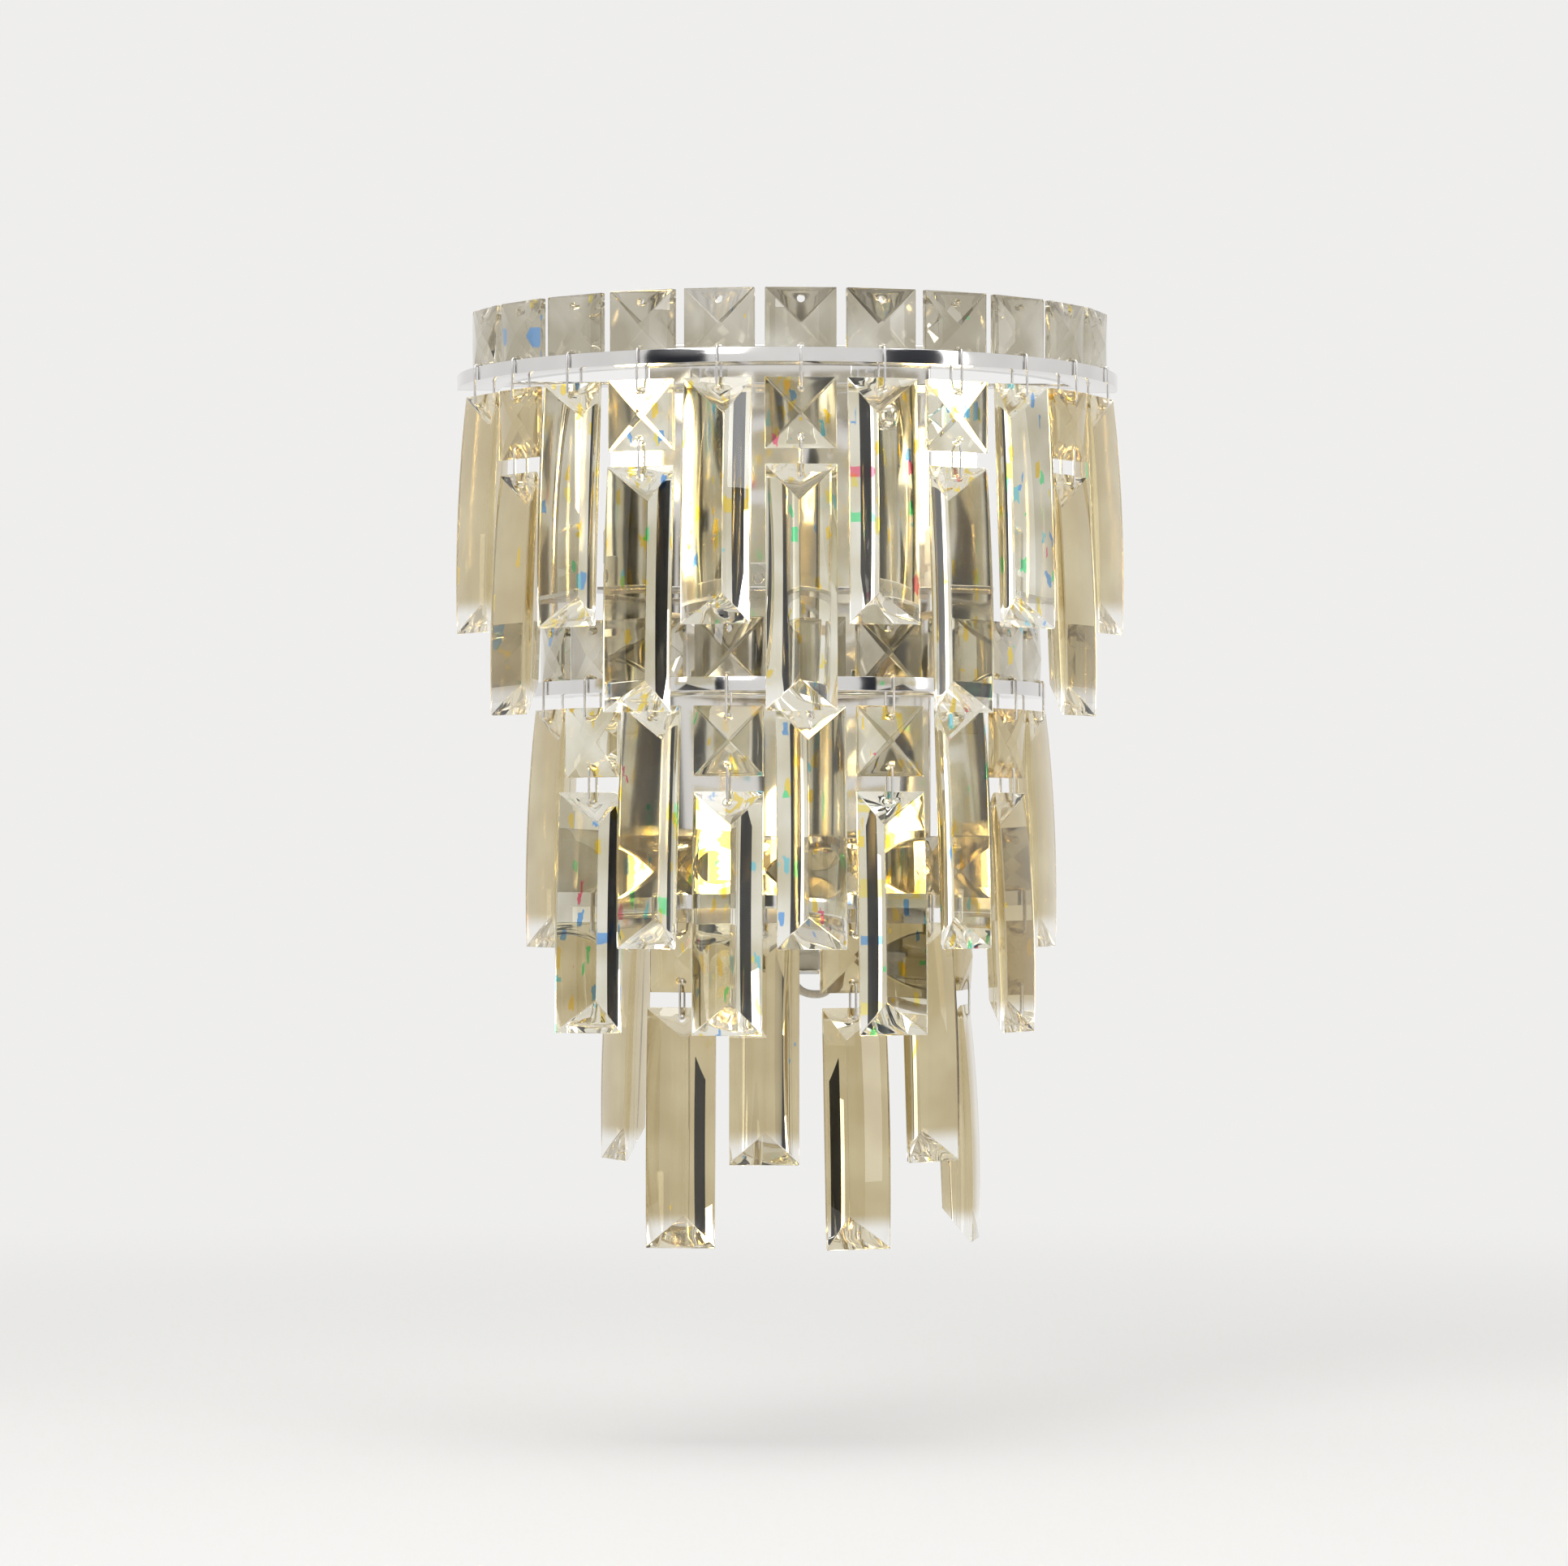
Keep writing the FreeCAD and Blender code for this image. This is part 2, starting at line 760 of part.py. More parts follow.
def makeBulb():
    """A glass capsule with a round tip and a flat pinch below."""
    radius = size("bulbDiameter") / 2
    outline = [(radius, 0)] + domeOutline(radius, size("bulbLength") - radius)
    glass = facetedTurning("BulbGlass", lampSides, outline)
    pinch = centredBox(
        "BulbPinch",
        "Sizes.pinchWidth",
        "Sizes.pinchThickness",
        "Sizes.pinchLength + 2 * Sizes.bulbStandoff",
        "0",
        "-Sizes.pinchThickness / 2",
        "-Sizes.pinchLength - Sizes.bulbStandoff",
    )
    return joined("Bulb", [glass, pinch])


def lampPlaces():
    """Name, across, out from the wall, glass bottom and shelf top of each lamp."""
    reach = "-Sizes.upperLampReach"
    return (
        ("left", "-Sizes.upperLampSpacing / 2", reach, upperGlass, upperShelfTop),
        ("right", "Sizes.upperLampSpacing / 2", reach, upperGlass, upperShelfTop),
        ("lower", "0", "-Sizes.lowerLampReach", lowerGlass, lowerShelfTop),
    )


def leadPassage(name, across, out, top):
    """The hole under a holder for its lead."""
    low = f"{top} - 3 * Sizes.shelfThickness"
    return rod(name, "Sizes.leadHole / 2", "4 * Sizes.shelfThickness", across, out, low, upright, 0)


def makeUpperShelf():
    """One sheet that carries both upper holders: a long shelf, a neck and a flange on the plate."""
    low = f"{upperShelfTop} - Sizes.shelfThickness"
    depth = "Sizes.holderDiameter + 2 * Sizes.shelfMargin"
    front = f"-Sizes.upperLampReach - ({depth}) / 2"
    length = f"Sizes.upperLampSpacing + {depth}"
    shelf = centredBox("UpperShelf", length, depth, "Sizes.shelfThickness", "0", front, low)
    neck = centredBox(
        "UpperNeck",
        "Sizes.shelfNeck",
        "Sizes.upperLampReach - Sizes.plateDepth",
        "Sizes.shelfThickness",
        "0",
        "-Sizes.upperLampReach",
        low,
    )
    flange = centredBox(
        "UpperFlange",
        "Sizes.shelfNeck",
        "Sizes.shelfThickness",
        "Sizes.shelfFlange + Sizes.shelfThickness",
        "0",
        f"{plateFront} - Sizes.shelfThickness",
        low,
    )
    tools = []
    for number, (across, height) in enumerate(screwPlaces()[2 * len(ringNames):]):
        tools.append(screwHole(f"ShelfScrewHole{number}", across, height))
    for name, across, out, glass, top in lampPlaces()[:2]:
        tools.append(leadPassage(name.capitalize() + "Passage", across, out, top))
    return without("UpperLampShelf", joined("UpperShelfBody", [shelf, neck, flange]), tools)


def makeLowerShelf():
    """A strip screwed under the bottom ring's rear bar, with a drop and a shelf for the lower holder."""
    barFoot = f"{levelExpressions['bottom']} - Sizes.rimHeight - Sizes.ringThickness"
    back = f"{plateFront} - Sizes.rearBarDepth"
    depth = "Sizes.holderDiameter / 2 + Sizes.shelfMargin"
    low = f"{lowerShelfTop} - Sizes.shelfThickness"
    tab = centredBox(
        "LowerTab",
        "Sizes.lowerShelfWidth",
        "Sizes.rearBarDepth",
        "Sizes.shelfThickness",
        "0",
        back,
        f"{barFoot} - Sizes.shelfThickness",
    )
    drop = centredBox(
        "LowerDrop", "Sizes.lowerShelfWidth", "Sizes.shelfThickness", f"{barFoot} - ({low})", "0", back, low
    )
    shelf = centredBox(
        "LowerShelf",
        "Sizes.lowerShelfWidth",
        f"Sizes.lowerLampReach + {depth} + {back} + Sizes.shelfThickness",
        "Sizes.shelfThickness",
        "0",
        f"-Sizes.lowerLampReach - ({depth})",
        low,
    )
    name, across, out, glass, top = lampPlaces()[2]
    tools = [leadPassage("LowerPassage", across, out, top), barScrewHole("TabScrewHole")]
    return without("LowerLampShelf", joined("LowerShelfBody", [tab, drop, shelf]), tools)


leadLevel = f"{upperShelfTop} - Sizes.shelfThickness - Sizes.leadDrop"
terminalTop = f"{levelExpressions['middle']} - Sizes.terminalDrop"


def makeTerminalBlock():
    return centredBox(
        "TerminalBlock",
        "Sizes.terminalWidth",
        "Sizes.terminalDepth",
        "Sizes.terminalHeight",
        "Sizes.terminalOffset",
        f"{plateFront} + Sizes.plateWall",
        f"{terminalTop} - Sizes.terminalHeight",
    )


def leadRoutes():
    """Each lamp's lead, from its holder's foot to the terminal block inside the back plate."""
    inside = -size("leadDepth")
    level = value(leadLevel)
    top = value(terminalTop)
    foot = top - size("terminalHeight")
    block, spread = size("terminalOffset"), size("leadSpread")
    across, out = size("upperLampSpacing") / 2, -size("upperLampReach")
    upper = value(upperShelfTop)
    near, far = block - size("terminalWidth") / 4, block + size("terminalWidth") / 4
    lowerOut, lowerTop = -size("lowerLampReach"), value(lowerShelfTop)
    lowerLevel = lowerTop - size("shelfThickness") - size("leadDrop")
    offset = size("lowerLeadOffset")
    front = -size("plateDepth") - size("leadDrop")
    right = [(across, out, upper), (across, out, level), (spread, front, level), (spread, inside, level)]
    left = [(-x, y, z) for x, y, z in right]
    right += [(far, inside, top + size("leadDrop")), (far, inside, top)]
    left += [(near, inside, level), (near, inside, top)]
    lower = [
        (0, lowerOut, lowerTop),
        (0, lowerOut, lowerLevel),
        (offset, inside, lowerLevel),
        (offset, inside, foot - 2 * size("leadDrop")),
        (near, inside, foot - size("leadDrop")),
        (near, inside, foot),
    ]
    return {"left": left, "right": right, "lower": lower}


def makeLeads():
    leads = []
    for name, route in leadRoutes().items():
        points = [Vector(*point) for point in route]
        tube = facetedTube(points, size("leadDiameter") / 2, False)
        leads.append(solidFeature(name.capitalize() + "Lead", tube))
    return together("Leads", leads)


# The assembly.

asNode(makeWallBracket(), "wall_bracket")
asNode(makeBackPlate(), "back_plate")
for ringName in ringNames:
    asNode(makeRing(ringName), ringName + "_ring")
asNode(makeScrews(), "frame_screws")
asNode(makeCapNuts(), "cap_nuts")
asNode(makeUpperShelf(), "upper_lamp_shelf")
asNode(makeLowerShelf(), "lower_lamp_shelf")
asNode(makeTerminalBlock(), "terminal_block")
asNode(makeLeads(), "lamp_leads")

holder = makeHolder()
bulb = makeBulb()
for lampName, lampAcross, lampOut, lampGlass, lampShelf in lampPlaces():
    lampSpot = Vector(value(lampAcross), value(lampOut), value(lampShelf))
    asNode(placed(lampName + "Holder", holder, Placement(lampSpot, Rotation())), lampName + "_lamp_holder")
    lampSpot = Vector(lampSpot.x, lampSpot.y, value(lampGlass))
    asNode(placed(lampName + "Bulb", bulb, Placement(lampSpot, Rotation())), lampName + "_bulb")

squareCrystal = makeSquareCrystal()
prismCrystal = makePrismCrystal()
rimLink = makeLink("RimLink", rimLinkHalfWidth, linkTop - firstHinge)
strandLink = makeLink("StrandLink", strandLinkHalfWidth, strandLinkTop - secondHinge)
document.recompute()

# A prism's weight is behind its hole, so it hangs with its foot a little outward.
prismCentre = prismCrystal.Shape.Solids[0].CenterOfMass
prismLean = math.degrees(math.atan(prismCentre.y / prismCentre.z))


def hungPlacement(tier, angle, hinge, twist, lean=0.0):
    """A place on a tier's hang line, its hinge given from the ring's level."""
    return strandPlacement(hangRadius(tier), angle, ringLevels[tier] + hinge, twist, lean)


rimLinks = []
for ringName in ringNames:
    standing = []
    standingRadius = size(ringName + "RingRadius") + standingPlane
    for count, strandAngle in enumerate(strandAngles(ringName), start=1):
        key = f"{ringName}_strand_{count:02d}"
        twist = strandTwists[ringName][count - 1]
        spot = strandPlacement(standingRadius, strandAngle, ringLevels[ringName] + standingOrigin)
        standing.append(placed(key + "_standing", squareCrystal, spot))
        spot = hungPlacement(ringName, strandAngle, firstHinge, 0)
        rimLinks.append(placed(key + "_rim_link", rimLink, spot))
        prismHinge = firstHinge
        if count % 2 == 0:
            prismHinge = secondHinge
            spot = hungPlacement(ringName, strandAngle, firstHinge, twist / 3)
            hanging = placed(key + "_square_piece", squareCrystal, spot)
            spot = hungPlacement(ringName, strandAngle, secondHinge, twist * 2 / 3)
            lowerLink = placed(key + "_lower_link", strandLink, spot)
            asNode(together(key + "_square_and_link", [hanging, lowerLink]), key + "_square")
        spot = hungPlacement(ringName, strandAngle, prismHinge, twist, prismLean)
        asNode(placed(key + "_prism_piece", prismCrystal, spot), key + "_prism")
    asNode(together(ringName + "StandingSquares", standing), ringName + "_standing_squares")
asNode(together("RimLinks", rimLinks), "rim_links")

document.recompute()

for item in document.Objects:
    if "Invalid" in item.State or "Error" in item.State:
        raise RuntimeError(f"{item.Name} did not recompute: {item.State}")
for node in nodes:
    if node.Shape.isNull() or not node.Shape.isValid():
        raise RuntimeError(f"{node.Label} has no valid shape")

os.makedirs("parts", exist_ok=True)
for node in nodes:
    node.Shape.exportStep(f"parts/{node.Label}.step")
print(len(nodes), "sub-parts,", sum(len(node.Shape.Solids) for node in nodes), "solids")
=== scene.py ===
import bpy
import bmesh
import json
import math
from mathutils import Matrix, Vector


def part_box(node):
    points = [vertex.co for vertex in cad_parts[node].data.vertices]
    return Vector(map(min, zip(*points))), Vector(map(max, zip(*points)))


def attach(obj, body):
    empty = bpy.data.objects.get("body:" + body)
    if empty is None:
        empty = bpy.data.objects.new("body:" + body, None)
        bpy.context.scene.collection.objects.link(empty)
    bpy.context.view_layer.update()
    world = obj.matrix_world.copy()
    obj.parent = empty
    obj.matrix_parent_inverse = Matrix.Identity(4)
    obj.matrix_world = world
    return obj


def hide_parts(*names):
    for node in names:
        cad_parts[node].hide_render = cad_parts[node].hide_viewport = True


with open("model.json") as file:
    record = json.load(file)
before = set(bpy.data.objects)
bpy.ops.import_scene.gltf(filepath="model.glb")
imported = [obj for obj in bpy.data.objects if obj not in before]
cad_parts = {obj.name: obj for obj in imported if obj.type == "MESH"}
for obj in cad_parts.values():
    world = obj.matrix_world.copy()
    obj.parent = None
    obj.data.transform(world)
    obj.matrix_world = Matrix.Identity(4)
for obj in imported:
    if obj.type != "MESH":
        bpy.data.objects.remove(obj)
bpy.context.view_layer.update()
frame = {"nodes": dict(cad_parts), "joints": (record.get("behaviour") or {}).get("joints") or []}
mm = 0.001

tiers = ("top", "middle", "bottom")


# mesh helpers, all in millimetres until they become an object

def toMesh(name, bm, smoothBelow=30):
    mesh = bpy.data.meshes.new(name)
    bmesh.ops.transform(bm, matrix=Matrix.Scale(mm, 4), verts=bm.verts)
    bmesh.ops.recalc_face_normals(bm, faces=bm.faces)
    bm.to_mesh(mesh)
    bm.free()
    mesh.polygons.foreach_set("use_smooth", [True] * len(mesh.polygons))
    mesh.set_sharp_from_angle(angle=math.radians(smoothBelow))
    return mesh


def place(name, mesh, matrix, body, material):
    obj = bpy.data.objects.new(name, mesh)
    bpy.context.scene.collection.objects.link(obj)
    if not mesh.materials:
        mesh.materials.append(material)
    if mesh.materials[0] != material:
        obj.material_slots[0].link = "OBJECT"
        obj.material_slots[0].material = material
    obj.matrix_world = matrix
    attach(obj, body)
    return obj


def boxInto(bm, low, high):
    spots = [(x, y, z) for x in (low[0], high[0]) for y in (low[1], high[1]) for z in (low[2], high[2])]
    corners = [bm.verts.new(spot) for spot in spots]
    for side in ((0, 1, 3, 2), (4, 6, 7, 5), (0, 4, 5, 1), (2, 3, 7, 6), (0, 2, 6, 4), (1, 5, 7, 3)):
        bm.faces.new([corners[i] for i in side])


def cutByPlanes(planes, reach):
    # a convex solid, kept on the inner side of each plane (point, outward normal)
    bm = bmesh.new()
    boxInto(bm, (-reach,) * 3, (reach,) * 3)
    for point, normal in planes:
        everything = bm.verts[:] + bm.edges[:] + bm.faces[:]
        cut = bmesh.ops.bisect_plane(bm, geom=everything, plane_co=point, plane_no=normal,
                                     clear_outer=True, dist=1e-5)
        edges = [item for item in cut["geom_cut"] if isinstance(item, bmesh.types.BMEdge)]
        if edges:
            bmesh.ops.contextual_create(bm, geom=edges)
    bmesh.ops.remove_doubles(bm, verts=bm.verts, dist=1e-4)
    return bm


def bevelSharp(bm, width, above, segments=2):
    # round the edges whose faces turn more than the given angle
    bm.normal_update()
    limit = math.radians(above)
    sharp = [e for e in bm.edges if len(e.link_faces) == 2 and e.calc_face_angle(0) > limit]
    bmesh.ops.bevel(bm, geom=sharp, offset=width, segments=segments, profile=0.6, affect="EDGES",
                    clamp_overlap=True)
    return bm


def turnedInto(bm, outline, steps=48):
    # a turned form about Z from (radius, height) pairs; a radius of 0 closes it
    rings = []
    for radius, height in outline:
        if radius == 0:
            rings.append([bm.verts.new((0, 0, height))])
        else:
            turns = [2 * math.pi * i / steps for i in range(steps)]
            rings.append([bm.verts.new((radius * math.cos(t), radius * math.sin(t), height))
                          for t in turns])
    for one, other in zip(rings[:-1], rings[1:]):
        for i in range(steps):
            j = (i + 1) % steps
            if len(one) == 1:
                bm.faces.new((one[0], other[i], other[j]))
            elif len(other) == 1:
                bm.faces.new((one[i], one[j], other[0]))
            else:
                bm.faces.new((one[i], one[j], other[j], other[i]))


def roundedCorners(corners, radius, steps=5):
    # a closed outline with its corners rounded
    points = []
    for i, corner in enumerate(corners):
        before = (corners[i - 1] - corner).normalized()
        after = (corners[(i + 1) % len(corners)] - corner).normalized()
        start, end = corner + before * radius, corner + after * radius
        for step in range(steps + 1):
            t = step / steps
            points.append(start * (1 - t) ** 2 + corner * 2 * t * (1 - t) + end * t ** 2)
    return points


def loopInto(bm, points, radius, normal, sides=12):
    # a closed round wire along points that lie in one plane
    rings = []
    count = len(points)
    for i, point in enumerate(points):
        along = (points[(i + 1) % count] - points[i - 1]).normalized()
        side = along.cross(normal).normalized()
        turns = [2 * math.pi * k / sides for k in range(sides)]
        rings.append([bm.verts.new(point + (side * math.cos(t) + normal * math.sin(t)) * radius)
                      for t in turns])
    for i in range(count):
        one, other = rings[i], rings[(i + 1) % count]
        for k in range(sides):
            j = (k + 1) % sides
            bm.faces.new((one[k], one[j], other[j], other[k]))


def subtract(mesh, tool):
    # the mesh with the tool's closed shapes cut out of it
    holders = []
    for part, name in ((mesh, "cutBase"), (tool, "cutTool")):
        obj = bpy.data.objects.new(name, part)
        bpy.context.scene.collection.objects.link(obj)
        holders.append(obj)
    cut = holders[0].modifiers.new("cut", "BOOLEAN")
    cut.object = holders[1]
    cut.solver = "EXACT"
    cut.use_self = False
    dg = bpy.context.evaluated_depsgraph_get()
    result = bpy.data.meshes.new_from_object(holders[0].evaluated_get(dg))
    for obj in holders:
        bpy.data.objects.remove(obj)
    result.name = mesh.name
    result.polygons.foreach_set("use_smooth", [True] * len(result.polygons))
    result.set_sharp_from_angle(angle=math.radians(30))
    return result


def drillInto(bm, spots, radius, low, high, axis="Y", steps=28):
    # round drills along one axis, as tools
    for spot in spots:
        part = bmesh.new()
        turnedInto(part, ((0, low), (radius, low), (radius, high), (0, high)), steps)
        turn = {"Z": Matrix(), "Y": Matrix.Rotation(math.radians(-90), 4, "X")}[axis]
        bmesh.ops.transform(part, matrix=Matrix.Translation(spot) @ turn, verts=part.verts)
        temp = bpy.data.meshes.new("drill")
        part.to_mesh(temp)
        part.free()
        bm.from_mesh(temp)
        bpy.data.meshes.remove(temp)


# materials

def nodeSet(name):
    material = bpy.data.materials.new(name)
    material.use_nodes = True
    nodes, links = material.node_tree.nodes, material.node_tree.links
    return material, nodes, links, nodes["Principled BSDF"]


def addGroup(nodes, tree, **values):
    node = nodes.new("ShaderNodeGroup")
    node.node_tree = tree
    for key, value in values.items():
        node.inputs[key].default_value = value
    return node


def newGroup(name, inputs, outputs):
    tree = bpy.data.node_groups.new(name, "ShaderNodeTree")
    for label, kind, value in inputs:
        socket = tree.interface.new_socket(name=label, in_out="INPUT", socket_type=kind)
        socket.default_value = value
    for label, kind in outputs:
        tree.interface.new_socket(name=label, in_out="OUTPUT", socket_type=kind)
    start, end = tree.nodes.new("NodeGroupInput"), tree.nodes.new("NodeGroupOutput")
    return tree, start, end


def makeWearGroup():
    # faint smudges and fine scratches on polished metal
    tree, start, end = newGroup(
        "polishWear",
        (("Scale", "NodeSocketFloat", 60.0), ("Base Roughness", "NodeSocketFloat", 0.08),
         ("Wear", "NodeSocketFloat", 0.1), ("Color", "NodeSocketColor", (0.8, 0.8, 0.8, 1))),
        (("Color", "NodeSocketColor"), ("Roughness", "NodeSocketFloat"), ("Height", "NodeSocketFloat")))
    nodes, links = tree.nodes, tree.links
    place3d = nodes.new("ShaderNodeTexCoord")
    smudge = nodes.new("ShaderNodeTexNoise")
    smudge.inputs["Detail"].default_value = 6
    scratch = nodes.new("ShaderNodeTexNoise")
    stretch = nodes.new("ShaderNodeMapping")
    stretch.inputs["Scale"].default_value = (1400, 1400, 60)
    links.new(place3d.outputs["Object"], smudge.inputs["Vector"])
    links.new(start.outputs["Scale"], smudge.inputs["Scale"])
    links.new(place3d.outputs["Object"], stretch.inputs["Vector"])
    links.new(stretch.outputs["Vector"], scratch.inputs["Vector"])
    scratch.inputs["Scale"].default_value = 1
    rough = nodes.new("ShaderNodeMath")
    rough.operation = "MULTIPLY_ADD"
    links.new(smudge.outputs["Fac"], rough.inputs[0])
    links.new(start.outputs["Wear"], rough.inputs[1])
    links.new(start.outputs["Base Roughness"], rough.inputs[2])
    shade = nodes.new("ShaderNodeMix")
    shade.data_type = "RGBA"
    shade.blend_type = "MULTIPLY"
    tone = nodes.new("ShaderNodeMapRange")
    tone.inputs["To Min"].default_value = 0.82
    tone.inputs["To Max"].default_value = 1.06
    links.new(smudge.outputs["Fac"], tone.inputs["Value"])
    shade.inputs["Factor"].default_value = 1
    links.new(start.outputs["Color"], shade.inputs["A"])
    links.new(tone.outputs["Result"], shade.inputs["B"])
    links.new(shade.outputs["Result"], end.inputs["Color"])
    links.new(rough.outputs["Value"], end.inputs["Roughness"])
    links.new(scratch.outputs["Fac"], end.inputs["Height"])
    return tree


def makePaintedGlassLightGroup():
    # painted light: a tint that varies, tan to stand in for the lit wall seen through the clear glass,
    # clear and near-white below the Foot level as a painted bright foot lit from above, with small
    # sparse patches of spectral colour painted as glints of lamp light split by the glass
    tree, start, end = newGroup(
        "crystalFire",
        (("Scale", "NodeSocketFloat", 260.0), ("Amount", "NodeSocketFloat", 0.12),
         ("Clear", "NodeSocketColor", (0.95, 0.93, 0.88, 1)),
         ("Smoke", "NodeSocketColor", (0.8, 0.7, 0.5, 1)),
         ("Foot", "NodeSocketFloat", -1.0)),
        (("Color", "NodeSocketColor"),))
    nodes, links = tree.nodes, tree.links
    place3d = nodes.new("ShaderNodeTexCoord")
    piece = nodes.new("ShaderNodeObjectInfo")
    shift = nodes.new("ShaderNodeVectorMath")
    links.new(place3d.outputs["Object"], shift.inputs[0])
    links.new(piece.outputs["Random"], shift.inputs[1])
    stretch = nodes.new("ShaderNodeMapping")
    stretch.inputs["Scale"].default_value = (1, 1, 0.4)
    links.new(shift.outputs["Vector"], stretch.inputs["Vector"])
    # painted glints: sparse cells of spectral colour stand in for lamp light split by the glass
    cells = nodes.new("ShaderNodeTexVoronoi")
    cells.distance = "CHEBYCHEV"
    links.new(stretch.outputs["Vector"], cells.inputs["Vector"])
    links.new(start.outputs["Scale"], cells.inputs["Scale"])
    split = nodes.new("ShaderNodeSeparateColor")
    links.new(cells.outputs["Color"], split.inputs["Color"])
    pick = nodes.new("ShaderNodeMath")
    pick.operation = "LESS_THAN"
    links.new(split.outputs["Red"], pick.inputs[0])
    links.new(start.outputs["Amount"], pick.inputs[1])
    hue = nodes.new("ShaderNodeValToRGB")
    ramp = hue.color_ramp
    ramp.interpolation = "CONSTANT"
    ramp.elements[0].color = (1.0, 0.62, 0.03, 1)
    ramp.elements[1].position = 0.52
    ramp.elements[1].color = (0.06, 0.25, 0.9, 1)
    for spot, color in ((0.64, (1.0, 0.78, 0.1, 1)), (0.74, (0.1, 0.62, 0.95, 1)),
                        (0.86, (0.05, 0.8, 0.2, 1)), (0.94, (0.9, 0.05, 0.12, 1))):
        ramp.elements.new(spot).color = color
    links.new(split.outputs["Green"], hue.inputs["Fac"])
    # painted tint: the tan patches stand in for the lit wall seen through the glass
    cloud = nodes.new("ShaderNodeTexNoise")
    cloud.inputs["Scale"].default_value = 45
    cloud.inputs["Detail"].default_value = 2
    links.new(shift.outputs["Vector"], cloud.inputs["Vector"])
    tint = nodes.new("ShaderNodeMix")
    tint.data_type = "RGBA"
    soft = nodes.new("ShaderNodeMapRange")
    soft.inputs["From Min"].default_value = 0.34
    soft.inputs["From Max"].default_value = 0.58
    links.new(cloud.outputs["Fac"], soft.inputs["Value"])
    links.new(soft.outputs["Result"], tint.inputs["Factor"])
    links.new(start.outputs["Clear"], tint.inputs["A"])
    links.new(start.outputs["Smoke"], tint.inputs["B"])
    # painted bright foot: below the Foot level the tint turns near-white, standing in for the foot lit
    # from above
    height = nodes.new("ShaderNodeSeparateXYZ")
    links.new(place3d.outputs["Object"], height.inputs["Vector"])
    above = nodes.new("ShaderNodeMath")
    above.operation = "SUBTRACT"
    links.new(height.outputs["Z"], above.inputs[0])
    links.new(start.outputs["Foot"], above.inputs[1])
    bright = nodes.new("ShaderNodeMapRange")
    bright.interpolation_type = "SMOOTHSTEP"
    bright.inputs["From Max"].default_value = 0.006
    bright.inputs["To Min"].default_value = 1
    bright.inputs["To Max"].default_value = 0
    links.new(above.outputs["Value"], bright.inputs["Value"])
    foot = nodes.new("ShaderNodeMix")
    foot.data_type = "RGBA"
    foot.inputs["B"].default_value = (0.96, 0.95, 0.91, 1)
    links.new(bright.outputs["Result"], foot.inputs["Factor"])
    links.new(tint.outputs["Result"], foot.inputs["A"])
    spark = nodes.new("ShaderNodeMix")
    spark.data_type = "RGBA"
    links.new(pick.outputs["Value"], spark.inputs["Factor"])
    links.new(foot.outputs["Result"], spark.inputs["A"])
    links.new(hue.outputs["Color"], spark.inputs["B"])
    links.new(spark.outputs["Result"], end.inputs["Color"])
    return tree


wearGroup = makeWearGroup()
paintedGlassLightGroup = makePaintedGlassLightGroup()


def makeMetal(name, color, roughness, wear, scale=60.0, bump=0.02):
    material, nodes, links, shader = nodeSet(name)
    shader.inputs["Metallic"].default_value = 1
    group = addGroup(nodes, wearGroup, **{"Scale": scale, "Base Roughness": roughness, "Wear": wear,
                                          "Color": (*color, 1)})
    links.new(group.outputs["Color"], shader.inputs["Base Color"])
    links.new(group.outputs["Roughness"], shader.inputs["Roughness"])
    relief = nodes.new("ShaderNodeBump")
    relief.inputs["Strength"].default_value = bump
    relief.inputs["Distance"].default_value = 0.0001
    links.new(group.outputs["Height"], relief.inputs["Height"])
    links.new(relief.outputs["Normal"], shader.inputs["Normal"])
    return material


# glass coloured with painted light: a tan tint for the lit wall seen through, a painted bright foot and
# painted spectral glints
def makeCrystal(name, clear, paintedDeeperTint, amount, scale, foot=-1.0):
    material, nodes, links, shader = nodeSet(name)
    shader.inputs["Transmission Weight"].default_value = 1
    shader.inputs["Roughness"].default_value = 0
    shader.inputs["IOR"].default_value = crystalLook["ior"]
    group = addGroup(nodes, paintedGlassLightGroup, **{"Scale": scale, "Amount": amount, "Clear": (*clear, 1),
                                          "Smoke": (*paintedDeeperTint, 1), "Foot": foot})
    links.new(group.outputs["Color"], shader.inputs["Base Color"])
    return material


def makeGlow(name, color, strength, tint):
    # glass that is lit from inside, brighter along its middle
    material, nodes, links, shader = nodeSet(name)
    shader.inputs["Base Color"].default_value = (*tint, 1)
    shader.inputs["Transmission Weight"].default_value = 0.8
    shader.inputs["Roughness"].default_value = 0.12
    shader.inputs["Emission Strength"].default_value = strength
    place3d = nodes.new("ShaderNodeTexCoord")
    split = nodes.new("ShaderNodeSeparateXYZ")
    links.new(place3d.outputs["Generated"], split.inputs["Vector"])
    ramp = nodes.new("ShaderNodeValToRGB")
    ramp.color_ramp.elements[0].color = (*[c * 0.35 for c in color], 1)
    ramp.color_ramp.elements[1].position = 0.45
    ramp.color_ramp.elements[1].color = (*color, 1)
    links.new(split.outputs["Z"], ramp.inputs["Fac"])
    links.new(ramp.outputs["Color"], shader.inputs["Emission Color"])
    return material


